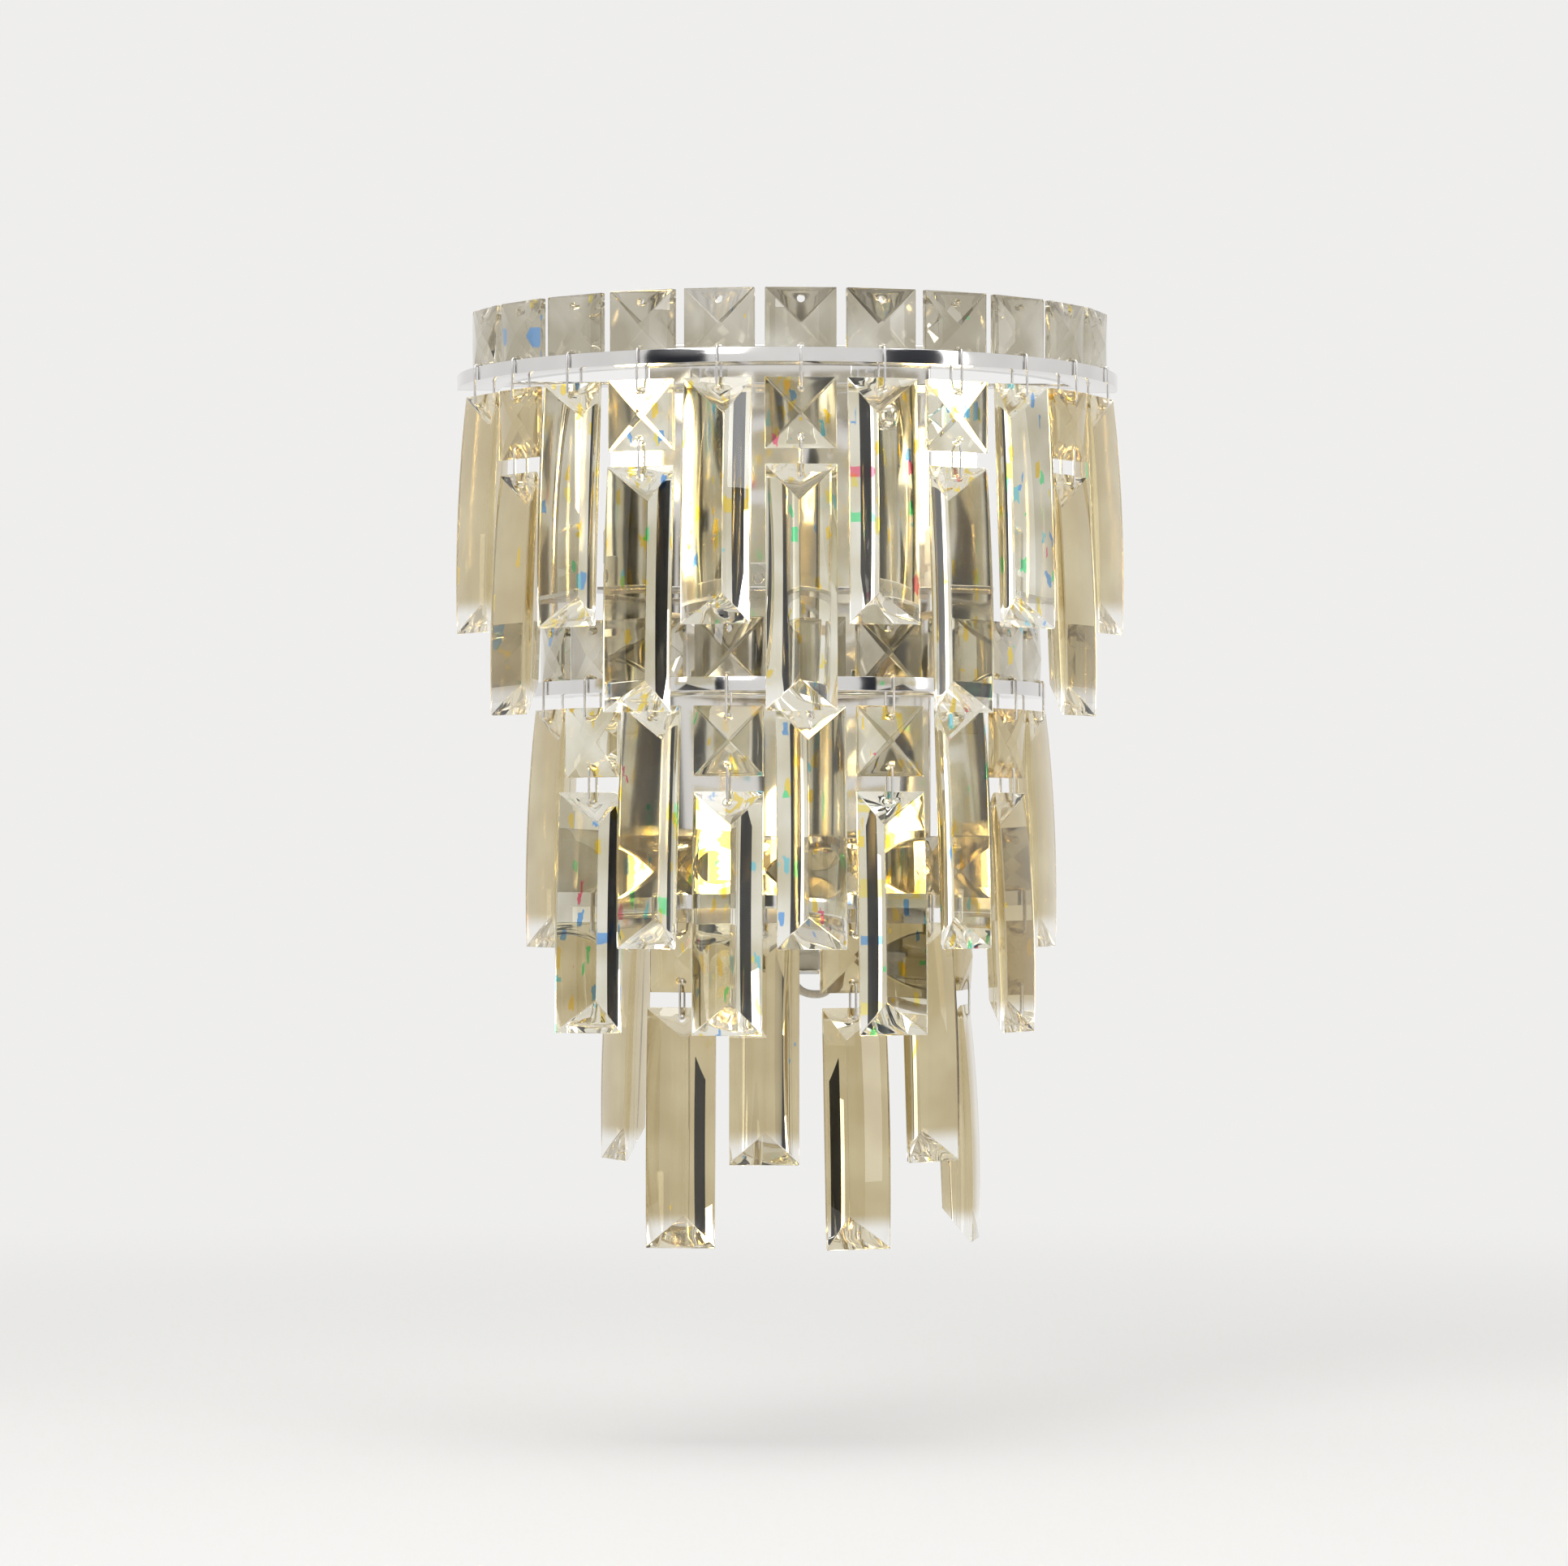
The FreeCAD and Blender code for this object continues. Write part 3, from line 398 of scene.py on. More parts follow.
def makePlain(name, color, darker, roughness, scale, bump, specular=0.5):
    # matt or glazed solid colour with a mottled tone and a fine grain
    material, nodes, links, shader = nodeSet(name)
    shader.inputs["Specular IOR Level"].default_value = specular
    place3d = nodes.new("ShaderNodeTexCoord")
    mottle = nodes.new("ShaderNodeTexNoise")
    mottle.inputs["Scale"].default_value = scale
    mottle.inputs["Detail"].default_value = 8
    links.new(place3d.outputs["Object"], mottle.inputs["Vector"])
    tone = nodes.new("ShaderNodeValToRGB")
    tone.color_ramp.elements[0].position = 0.3
    tone.color_ramp.elements[0].color = (*darker, 1)
    tone.color_ramp.elements[1].position = 0.62
    tone.color_ramp.elements[1].color = (*color, 1)
    links.new(mottle.outputs["Fac"], tone.inputs["Fac"])
    links.new(tone.outputs["Color"], shader.inputs["Base Color"])
    rough = nodes.new("ShaderNodeMapRange")
    rough.inputs["To Min"].default_value = roughness * 0.8
    rough.inputs["To Max"].default_value = roughness * 1.25
    links.new(mottle.outputs["Fac"], rough.inputs["Value"])
    links.new(rough.outputs["Result"], shader.inputs["Roughness"])
    relief = nodes.new("ShaderNodeBump")
    relief.inputs["Strength"].default_value = bump
    relief.inputs["Distance"].default_value = 0.0002
    links.new(mottle.outputs["Fac"], relief.inputs["Height"])
    links.new(relief.outputs["Normal"], shader.inputs["Normal"])
    return material


# painted light: the copy for strands away from the lamps is the shaded copy, deeper tan with few
# painted glints; the copy for strands in front of the lamps is the lit copy, paler with more painted
# glints; all tan tints stand in for the lit wall seen through the clear glass, and the foot level marks
# the painted bright foot
crystalLook = dict(ior=1.55, paintedBrightFoot=-0.067)
hangingCrystal = makeCrystal("hangingCrystal", (0.66, 0.57, 0.35), (0.56, 0.46, 0.26), 0.004, 420.0,
                             crystalLook["paintedBrightFoot"])
fieryCrystal = makeCrystal("fieryCrystal", (0.93, 0.92, 0.82), (0.67, 0.62, 0.46), 0.04, 560.0,
                           crystalLook["paintedBrightFoot"])
standingCrystal = makeCrystal("standingCrystal", (0.68, 0.65, 0.56), (0.44, 0.40, 0.30), 0.012, 420.0)
ringChrome = makeMetal("ringChrome", (0.78, 0.77, 0.76), 0.06, 0.08)
plateMirror = makeMetal("plateMirror", (0.80, 0.78, 0.75), 0.05, 0.06, 25.0, 0.01)
nutChrome = makeMetal("nutChrome", (0.80, 0.79, 0.77), 0.08, 0.10, 120.0)
linkChrome = makeMetal("linkChrome", (0.72, 0.71, 0.70), 0.12, 0.12, 300.0)
screwSteel = makeMetal("screwSteel", (0.62, 0.61, 0.60), 0.18, 0.2, 300.0, 0.1)
shelfSteel = makeMetal("shelfSteel", (0.66, 0.65, 0.64), 0.16, 0.2, 80.0, 0.15)
bracketSteel = makeMetal("bracketSteel", (0.56, 0.56, 0.55), 0.3, 0.25, 90.0, 0.3)
brassPin = makeMetal("brassPin", (0.75, 0.58, 0.30), 0.22, 0.15, 300.0, 0.1)
holderCeramic = makePlain("holderCeramic", (0.86, 0.85, 0.81), (0.78, 0.76, 0.71), 0.3, 180.0, 0.15)
terminalPlastic = makePlain("terminalPlastic", (0.80, 0.78, 0.72), (0.72, 0.70, 0.64), 0.42, 240.0, 0.1)
leadSleeve = makePlain("leadSleeve", (0.72, 0.66, 0.56), (0.60, 0.54, 0.45), 0.5, 900.0, 0.4)
bulbGlass = makeGlow("bulbGlass", (1.0, 0.76, 0.30), 3.0, (1.0, 0.95, 0.86))
bulbCore = makeGlow("bulbCore", (1.0, 0.82, 0.46), 70.0, (1.0, 0.9, 0.7))
print("materials made")


# crystals, hung from the frame's joints

squareLook = dict(side=22, edge=2, middle=7, hole=2.5, inset=3.6, sag=0.1, bevel=0.22)
prismLook = dict(width=22, length=76, depth=10.4, bulge=1.5, edge=1, lip=0.5, endBevel=10.5, face=1.26,
                 hole=2.5, inset=3.6, sag=0.1, bevel=0.22, lean=-2.4312, curveSteps=22)
linkLook = dict(wire=0.8, corner=1.0, rimHalf=3.247, rimHigh=12.99, strandHalf=2.284, strandHigh=11.5)
strandLook = dict(firstHinge=-12.5, standingIn=-0.963, standingUp=27.6, paintedLampLitWithin=52)


def holeSpots(look, lowerToo):
    spots = [(0, 0, -look["sag"])]
    if lowerToo:
        spots.append((0, 0, -look["sag"] - look["side"] + 2 * look["inset"]))
    return spots


def makeSquareMesh(look):
    # a square slab with a low pyramid on both faces, hung from the hole by its upper edge
    half = look["side"] / 2
    middle = look["inset"] - look["sag"] - half
    rise = (look["middle"] - look["edge"]) / 2
    centre = Vector((0, 0, middle))
    planes = [(centre + side * half, side) for side in
              (Vector((1, 0, 0)), Vector((-1, 0, 0)), Vector((0, 0, 1)), Vector((0, 0, -1)))]
    for face in (1, -1):
        tip = centre + Vector((0, face * look["middle"] / 2, 0))
        for across, up in ((1, 0), (-1, 0), (0, 1), (0, -1)):
            planes.append((tip, Vector((across * rise, face * half, up * rise)).normalized()))
    bm = bevelSharp(cutByPlanes(planes, 60), look["bevel"], 12, 2)
    tool = bmesh.new()
    drillInto(tool, holeSpots(look, True), look["hole"] / 2, -20, 20)
    return subtract(toMesh("squareCrystal", bm), toMesh("squareDrills", tool))


def makePrismMesh(look):
    # a long prism: bowed outer face, ridge behind, a long bevel at both ends
    top = look["inset"] - look["sag"]
    length, half, face = look["length"], look["width"] / 2, look["face"]
    planes = [(Vector((half, 0, 0)), Vector((1, 0, 0))), (Vector((-half, 0, 0)), Vector((-1, 0, 0))),
              (Vector((0, 0, top)), Vector((0, 0, 1))),
              (Vector((0, 0, top - length)), Vector((0, 0, -1)))]
    steps = look["curveSteps"]

    def bowed(t):
        return Vector((0, -face - 4 * look["bulge"] * t * (1 - t), top - length * t))

    for step in range(steps):
        one, other = bowed(step / steps), bowed((step + 1) / steps)
        along = (other - one).normalized()
        planes.append(((one + other) / 2, Vector((0, along.z, -along.y))))
    rear = look["depth"] - face
    slope = look["depth"] - look["edge"]
    for side in (1, -1):
        planes.append((Vector((0, rear, 0)), Vector((side * slope, half, 0)).normalized()))
    rise = look["depth"] - look["lip"]
    for end, height in ((1, top), (-1, top - length)):
        planes.append((Vector((0, look["lip"] - face, height)),
                       Vector((0, look["endBevel"], end * rise)).normalized()))
    bm = bevelSharp(cutByPlanes(planes, 120), look["bevel"], 12, 2)
    tool = bmesh.new()
    drillInto(tool, holeSpots(look, False), look["hole"] / 2, -20, 20)
    return subtract(toMesh("prismCrystal", bm), toMesh("prismDrills", tool))


def makeLinkMesh(name, half, height):
    bm = bmesh.new()
    corners = [Vector((0, across, up)) for across, up in
               ((-half, 0), (half, 0), (half, height), (-half, height))]
    outline = roundedCorners(corners, linkLook["corner"])
    loopInto(bm, outline, linkLook["wire"] / 2, Vector((1, 0, 0)))
    return toMesh(name, bm, 60)


squareMesh = makeSquareMesh(squareLook)
standingMesh = squareMesh.copy()
standingMesh.name = "standingSquare"
prismMesh = makePrismMesh(prismLook)
rimLinkMesh = makeLinkMesh("rimLink", linkLook["rimHalf"], linkLook["rimHigh"])
strandLinkMesh = makeLinkMesh("strandLink", linkLook["strandHalf"], linkLook["strandHigh"])
print("crystals cut:", len(squareMesh.polygons), "and", len(prismMesh.polygons), "faces")


def turned(spot, angle, lean=0.0):
    turn = Matrix.Rotation(angle, 4, "Z") @ Matrix.Rotation(math.radians(lean), 4, "X")
    return Matrix.Translation(spot) @ turn


def axisAngle(joint):
    return math.atan2(-joint["axis"][1], -joint["axis"][0])


jointsByName = {joint["name"]: joint for joint in frame["joints"]}
standingPieces = {tier: [] for tier in tiers}
rimLinkPieces = []
linkSpots = {tier: [] for tier in tiers}


def hangStrand(tier, number):
    # one short or long strand, with its rim link and the square that stands above it
    key = f"{tier}_strand_{number:02d}"
    short = jointsByName.get(key + "_swing")
    upper = short or jointsByName[key + "_square_swing"]
    spot = Vector(upper["pos_m"])
    around = math.atan2(spot.x, -spot.y)
    outward = Vector((math.sin(around), -math.cos(around), 0))
    name = key.replace("_strand_", "Strand")
    # strands in front of the lamps get the lit copy of the crystal, with a paler painted tint and more
    # painted glints; the others get the shaded copy
    paintedLampLit = abs(around) < math.radians(strandLook["paintedLampLitWithin"]) and tier != "bottom"
    crystal = fieryCrystal if paintedLampLit else hangingCrystal
    lower = short or jointsByName[key + "_prism_swing"]
    lowerSpot = Vector(lower["pos_m"])
    prism = place(name + "Prism", prismMesh, turned(lowerSpot, axisAngle(lower), prismLook["lean"]),
                  key + "_prism", crystal)
    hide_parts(key + "_prism")
    if not short:
        square = place(name + "Square", squareMesh, turned(spot, axisAngle(upper)), key + "_square",
                       crystal)
        between = (axisAngle(upper) + axisAngle(lower)) / 2
        link = place(name + "Link", strandLinkMesh, turned(lowerSpot, between), key + "_square",
                     linkChrome)
        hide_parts(key + "_square")
        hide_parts(key + "_square")
    rimLinkPieces.append(place(name + "RimLink", rimLinkMesh, turned(spot, around), "frame",
                               linkChrome))
    up = Vector((0, 0, strandLook["standingUp"] * mm))
    stand = spot + outward * strandLook["standingIn"] * mm + up
    standingPieces[tier].append(place(name + "Standing", standingMesh, turned(stand, around), "frame",
                                      standingCrystal))
    linkSpots[tier].append((around, spot.z / mm - strandLook["firstHinge"]))


for tier in tiers:
    number = 1
    while any(joint["name"].startswith(f"{tier}_strand_{number:02d}") for joint in frame["joints"]):
        hangStrand(tier, number)
        number += 1
for piece in rimLinkPieces:
    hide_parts("rim_links")
for tier, pieces in standingPieces.items():
    for piece in pieces:
        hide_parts(tier + "_standing_squares")
print("strands hung:", len(rimLinkPieces))


# rings, each an angle section with a rear bar and two flanges

ringLook = dict(top=107.5, middle=84, bottom=60.5, strip=14, thick=1, rim=3.4, wallGap=1.2, barDepth=10,
                flangeAt=26, flangeWide=12, flangeHigh=9, hangLine=-2.497, hole=1.4, edge=0.18,
                plateGap=0.2, overlap=0.6, inset=0.02, steps=144)
plateLook = dict(width=92, height=188, depth=14, wall=1.2, rounding=0.9, studHole=2.2, leadHole=2.5,
                 leadAt=30, leadBelow=7, lowerLeadAt=(18, -7))


def makeRingMesh(tier):
    look = ringLook
    radius, level = look[tier], linkSpots[tier][0][1]
    foot = level - look["rim"] - look["thick"]
    thick, strip = look["thick"], look["strip"]
    outline = [(-strip, foot), (0, foot), (0, level), (-thick, level), (-thick, foot + thick),
               (-strip, foot + thick)]
    bm = bmesh.new()
    limit = math.acos(look["wallGap"] / radius)
    rings = []
    for step in range(look["steps"] + 1):
        turn = -limit + 2 * limit * step / look["steps"]
        across, outward = math.sin(turn), -math.cos(turn)
        rings.append([bm.verts.new(((radius + out) * across, (radius + out) * outward, z))
                      for out, z in outline])
    count = len(outline)
    for one, other in zip(rings[:-1], rings[1:]):
        for i in range(count):
            j = (i + 1) % count
            bm.faces.new((one[i], one[j], other[j], other[i]))
    for end in (rings[0], rings[-1]):
        bm.faces.new(end)
    bmesh.ops.recalc_face_normals(bm, faces=bm.faces)
    bevelSharp(bm, look["edge"], 40, 2)
    tool = bmesh.new()
    for around, _ in linkSpots[tier]:
        part = bmesh.new()
        side = look["hole"] / 2
        inner = radius + look["hangLine"] - linkLook["rimHalf"]
        boxInto(part, (-side, -inner - side, foot - 2), (side, -inner + side, level - 0.6))
        bmesh.ops.transform(part, matrix=Matrix.Rotation(around, 4, "Z"), verts=part.verts)
        temp = bpy.data.meshes.new("punch")
        part.to_mesh(temp)
        part.free()
        tool.from_mesh(temp)
        bpy.data.meshes.remove(temp)
    if tier == "bottom":
        room = plateLook["width"] / 2 + look["plateGap"]
        boxInto(tool, (-room, -plateLook["depth"], foot - 3), (room, 3, level + 3))
    mesh = subtract(toMesh(tier + "RingStrip", bm), toMesh(tier + "Punches", tool))
    extra = bmesh.new()
    front = -plateLook["depth"]
    reach = radius - strip + look["overlap"]
    inset = look["inset"]
    boxInto(extra, (-reach, front - look["barDepth"], foot + inset),
            (reach, front, foot + thick - inset))
    for side in (-1, 1):
        middle, wide = side * look["flangeAt"], look["flangeWide"] / 2
        boxInto(extra, (middle - wide, front - thick, foot + inset),
                (middle + wide, front, foot + look["flangeHigh"]))
    bevelSharp(extra, look["edge"], 40, 2)
    bmesh.ops.transform(extra, matrix=Matrix.Scale(mm, 4), verts=extra.verts)
    extra.from_mesh(mesh)
    merged = bpy.data.meshes.new(tier + "Ring")
    extra.to_mesh(merged)
    extra.free()
    merged.polygons.foreach_set("use_smooth", [True] * len(merged.polygons))
    merged.set_sharp_from_angle(angle=math.radians(30))
    return merged


for tier in tiers:
    ring = place(tier + "RingBand", makeRingMesh(tier), Matrix(), "frame", ringChrome)
    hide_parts(tier + "_ring")
print("rings bent")


# back plate, nuts and screws

nutLook = dict(across=8, skirt=4.5, studAt=65, chamfer=0.5, slope=1.2, domeInset=0.25)
screwLook = dict(head=2.75, headHigh=1.8, shank=1.5, tail=4.7, slot=0.7, slotDeep=1.0, threads=9,
                 threadDeep=0.22, shelfSheet=1.2, shelfAt=(10, 5), barOut=5, turnEach=37)


def makePlateMesh():
    look = plateLook
    half, tall, depth, wall = look["width"] / 2, look["height"] / 2, look["depth"], look["wall"]
    bm = bmesh.new()
    boxInto(bm, (-half, -depth, -tall), (half, 0, tall))
    bm.normal_update()
    upright = [e for e in bm.edges if all(v.co.y < -depth + 0.1 for v in e.verts)]
    bmesh.ops.bevel(bm, geom=upright, offset=look["rounding"], segments=4, profile=0.5, affect="EDGES")
    tool = bmesh.new()
    boxInto(tool, (-half + wall, -depth + wall, -tall + wall), (half - wall, 5, tall - wall))
    base = subtract(toMesh("plateShell", bm), toMesh("plateHollow", tool))
    holes = bmesh.new()
    studs = [(0, -depth, side * nutLook["studAt"]) for side in (1, -1)]
    drillInto(holes, studs, look["studHole"], -3, 3)
    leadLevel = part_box("upper_lamp_shelf")[0][2] / mm - look["leadBelow"]
    leads = [(side * look["leadAt"], -depth, leadLevel) for side in (1, -1)]
    drillInto(holes, leads, look["leadHole"], -3, 3)
    drillInto(holes, [(*look["lowerLeadAt"], -tall)], look["leadHole"], -3, 3, axis="Z")
    return subtract(base, toMesh("plateHoles", holes))


def makeNutMesh():
    look = nutLook
    corner = look["across"] / 2 / math.cos(math.radians(30))
    planes = []
    for side in range(6):
        turn = math.radians(30 + 60 * side)
        out = Vector((math.cos(turn), math.sin(turn), 0))
        planes.append((out * look["across"] / 2, out))
    planes += [(Vector((0, 0, look["skirt"])), Vector((0, 0, 1))),
               (Vector((0, 0, 0)), Vector((0, 0, -1)))]
    for side in range(36):
        turn = 2 * math.pi * side / 36
        out = Vector((math.cos(turn), math.sin(turn), 0))
        rimSpot = out * (corner - look["chamfer"]) + Vector((0, 0, look["skirt"]))
        planes.append((rimSpot, (out + Vector((0, 0, look["slope"]))).normalized()))
    bm = bevelSharp(cutByPlanes(planes, 20), 0.12, 40, 2)
    radius = look["across"] / 2 - look["domeInset"]
    dome = [(radius * math.cos(math.radians(a)), look["skirt"] + radius * math.sin(math.radians(a)))
            for a in range(0, 90, 9)]
    start, end = [(0, look["skirt"] - 1), (radius, look["skirt"] - 1)], [(0, look["skirt"] + radius)]
    turnedInto(bm, start + dome + end)
    return toMesh("capNut", bm)


def makeScrewMesh():
    look = screwLook
    bm = bmesh.new()
    head, high = look["head"], look["headHigh"]
    dome = [(head * math.cos(math.radians(a)) ** 0.6, 0.35 + (high - 0.35) * math.sin(math.radians(a)))
            for a in range(0, 90, 10)]
    turnedInto(bm, [(0, 0), (head - 0.15, 0), (head, 0.15)] + dome + [(0, high)], 36)
    tool = bmesh.new()
    long, wide = head * 0.62, look["slot"] / 2
    boxInto(tool, (-long, -wide, high - look["slotDeep"]), (long, wide, high + 1))
    boxInto(tool, (-wide, -long, high - look["slotDeep"]), (wide, long, high + 1))
    headMesh = subtract(toMesh("screwHead", bm), toMesh("screwSlot", tool))
    shank = bmesh.new()
    profile = [(0, 0.2)]
    pitch = look["tail"] / look["threads"]
    for i in range(look["threads"]):
        profile += [(look["shank"], -pitch * i),
                    (look["shank"] - look["threadDeep"], -pitch * (i + 0.5))]
    profile += [(look["shank"] - 0.3, -look["tail"]), (0, -look["tail"])]
    turnedInto(shank, profile, 24)
    bmesh.ops.transform(shank, matrix=Matrix.Scale(mm, 4), verts=shank.verts)
    shank.from_mesh(headMesh)
    merged = bpy.data.meshes.new("panScrew")
    bmesh.ops.recalc_face_normals(shank, faces=shank.faces)
    shank.to_mesh(merged)
    shank.free()
    merged.polygons.foreach_set("use_smooth", [True] * len(merged.polygons))
    merged.set_sharp_from_angle(angle=math.radians(35))
    return merged


plate = place("plateTray", makePlateMesh(), Matrix(), "frame", plateMirror)
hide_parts("back_plate")
toRoom = Matrix.Rotation(math.radians(90), 4, "X")
nutMesh = makeNutMesh()
for side, label in ((1, "upper"), (-1, "lower")):
    spot = Vector((0, -plateLook["depth"], side * nutLook["studAt"])) * mm
    nut = place(label + "CapNut", nutMesh, Matrix.Translation(spot) @ toRoom, "frame",
                nutChrome)
    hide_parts("cap_nuts")
screwMesh = makeScrewMesh()
screwSpots = []
for tier in tiers:
    level = linkSpots[tier][0][1] - ringLook["rim"] + (ringLook["flangeHigh"] - ringLook["thick"]) / 2
    screwSpots += [(side * ringLook["flangeAt"], -plateLook["depth"] - ringLook["thick"], level)
                   for side in (1, -1)]
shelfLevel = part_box("left_lamp_holder")[0][2] / mm
across, up = screwLook["shelfAt"]
screwSpots += [(side * across, -plateLook["depth"] - screwLook["shelfSheet"], shelfLevel + up)
               for side in (1, -1)]
for number, spot in enumerate(screwSpots):
    turn = Matrix.Rotation(math.radians(screwLook["turnEach"] * number), 4, "Y")
    screw = place(f"frameScrew{number + 1}", screwMesh,
                  Matrix.Translation(Vector(spot) * mm) @ turn @ toRoom,
                  "frame", screwSteel)
    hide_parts("frame_screws")
barTop = linkSpots["bottom"][0][1] - ringLook["rim"]
barSpot = Vector((0, -plateLook["depth"] - screwLook["barOut"], barTop)) * mm
barScrew = place("barScrew", screwMesh, Matrix.Translation(barSpot), "frame", screwSteel)
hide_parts("frame_screws")
print("plate, nuts and screws made")


# lamps, their holders and leads

bulbLook = dict(radius=7, length=38, pinchWide=9, pinchThick=4.4, pinchLong=12, core=2.6, coreFoot=6,
                coreHead=7, coreTurns=14, overHolder=2)
holderLook = dict(radius=9.5, height=20, slotWide=9.4, slotThick=4.8, slotDeep=8.2, contactAt=8.4,
                  contactHalf=0.9, contactDeep=1.6, contactFoot=9)
lampPlaces = dict(left=(-51, -48, 35), right=(51, -48, 35), lower=(0, -36, -86))


def makeHolderMesh():
    look = holderLook
    radius, height = look["radius"], look["height"]
    outline = [(0, 0), (radius - 0.5, 0), (radius, 0.5), (radius, 5), (radius - 0.9, 5.6),
               (radius - 0.9, 7.2), (radius, 7.8), (radius, height - 2.2), (radius - 0.5, height - 1.0),
               (radius - 1.6, height), (0, height)]
    bm = bmesh.new()
    turnedInto(bm, outline, 56)
    tool = bmesh.new()
    wide, thick = look["slotWide"] / 2, look["slotThick"] / 2
    boxInto(tool, (-wide, -thick, height - look["slotDeep"]), (wide, thick, height + 3))
    for side in (-1, 1):
        middle, half, deep = side * look["contactAt"], look["contactHalf"], look["contactDeep"]
        boxInto(tool, (middle - half, -deep, look["contactFoot"]), (middle + half, deep, height + 3))
    return subtract(toMesh("holderBody", bm, 25), toMesh("holderSlots", tool))


def makeBulbMesh():
    look = bulbLook
    radius, length = look["radius"], look["length"]
    bm = bmesh.new()
    outline = [(0, 0), (radius - 2.2, 0.1), (radius - 0.7, 1.0), (radius, 3.0)]
    for step in range(0, 90, 9):
        turn = math.radians(step)
        outline.append((radius * math.cos(turn), length - radius + radius * math.sin(turn)))
    turnedInto(bm, outline + [(0, length)], 40)
    return toMesh("bulbGlass", bm, 40)


def makePinchMesh():
    look = bulbLook
    bm = bmesh.new()
    boxInto(bm, (-look["pinchWide"] / 2, -look["pinchThick"] / 2, -look["pinchLong"] + 2),
            (look["pinchWide"] / 2, look["pinchThick"] / 2, 0.6))
    bevelSharp(bm, 0.7, 30, 3)
    return toMesh("bulbPinch", bm, 30)


def makeCoreMesh():
    look = bulbLook
    bm = bmesh.new()
    core, low, high = look["core"], look["coreFoot"], look["length"] - look["coreHead"]
    outline = [(0, low)]
    turns = look["coreTurns"]
    for i in range(turns):
        z = low + (high - low) * i / turns
        outline += [(core, z + 0.2), (core - 0.7, z + (high - low) / turns * 0.6)]
    turnedInto(bm, outline + [(0, high)], 28)
    return toMesh("bulbCore", bm, 50)


holderMesh, glassMesh = makeHolderMesh(), makeBulbMesh()
pinchMesh, coreMesh = makePinchMesh(), makeCoreMesh()
for name, (across, out, glass) in lampPlaces.items():
    foot = Vector((across, out, glass - bulbLook["overHolder"] - holderLook["height"])) * mm
    base = place(name + "LampHolder", holderMesh, Matrix.Translation(foot), "frame",
                 holderCeramic)
    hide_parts(name + "_lamp_holder")
    spot = Matrix.Translation(Vector((across, out, glass)) * mm)
    glassPiece = place(name + "BulbGlass", glassMesh, spot, "frame", bulbGlass)
    pinch = place(name + "BulbPinch", pinchMesh, spot, "frame", bulbGlass)
    core = place(name + "BulbCore", coreMesh, spot, "frame", bulbCore)
    for piece in (glassPiece, pinch, core):
        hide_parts(name + "_bulb")


leadLook = dict(radius=1.3, drop=8.2)


def makeLead(name, route):
    curve = bpy.data.curves.new(name, "CURVE")
    curve.dimensions = "3D"
    spline = curve.splines.new("NURBS")
    spline.points.add(len(route) - 1)
    for point, spot in zip(spline.points, route):
        point.co = (*[value * mm for value in spot], 1)
    spline.order_u = 3
    spline.use_endpoint_u = True
    curve.bevel_depth = leadLook["radius"] * mm
    curve.bevel_resolution = 4
    curve.use_fill_caps = True
    curve.materials.append(leadSleeve)
    obj = bpy.data.objects.new(name, curve)
    bpy.context.scene.collection.objects.link(obj)
    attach(obj, "frame")
    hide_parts("lamp_leads")


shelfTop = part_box("left_lamp_holder")[0][2] / mm
leadLevel = shelfTop - leadLook["drop"]
makeLead("rightLead", [(51, -48, shelfTop), (51, -48, leadLevel), (30, -21, leadLevel),
                       (30, -7, leadLevel), (34.5, -7, -15), (34.5, -7, -22)])
makeLead("leftLead", [(-51, -48, shelfTop), (-51, -48, leadLevel), (-30, -21, leadLevel),
                      (-30, -7, leadLevel), (25.5, -7, leadLevel), (25.5, -7, -22)])
makeLead("lowerLead", [(0, -36, -108), (0, -36, -116.2), (18, -7, -116.2), (18, -7, -58),
                       (25.5, -7, -51), (25.5, -7, -44)])

# carried-over pressed and moulded parts keep their shape and get a finish
for node, material in (("wall_bracket", bracketSteel), ("upper_lamp_shelf", shelfSteel),
                       ("lower_lamp_shelf", shelfSteel), ("terminal_block", terminalPlastic)):
    obj = frame["nodes"][node]
    obj.data.materials.clear()
    obj.data.materials.append(material)
    weld = obj.modifiers.new("weld", "WELD")
    weld.merge_threshold = 1e-5
    soften = obj.modifiers.new("soften", "BEVEL")
    soften.width = 0.00025
    soften.segments = 2
    soften.limit_method = "ANGLE"
    soften.angle_limit = math.radians(50)
    soften.harden_normals = True
print("lamps, leads and carried-over parts done")


# floor, light and camera

stageLook = dict(floorAt=-0.26, floorSize=9.0, pale=(0.86, 0.855, 0.845), fadeFrom=0.25, fadeTo=1.1,
                 worldColor=(0.96, 0.95, 0.93), worldStrength=0.52)
cardLook = dict(across=0.56, thick=0.02, out=(-1.0, -0.5), up=(-0.3, 0.4))


def seenRays(nodes, links):
    # 1 for the rays that show a background: to the camera, off metal and through glass
    path = nodes.new("ShaderNodeLightPath")
    first = nodes.new("ShaderNodeMath")
    second = nodes.new("ShaderNodeMath")
    second.use_clamp = True
    links.new(path.outputs["Is Camera Ray"], first.inputs[0])
    links.new(path.outputs["Is Glossy Ray"], first.inputs[1])
    links.new(first.outputs["Value"], second.inputs[0])
    links.new(path.outputs["Is Transmission Ray"], second.inputs[1])
    return second.outputs["Value"]


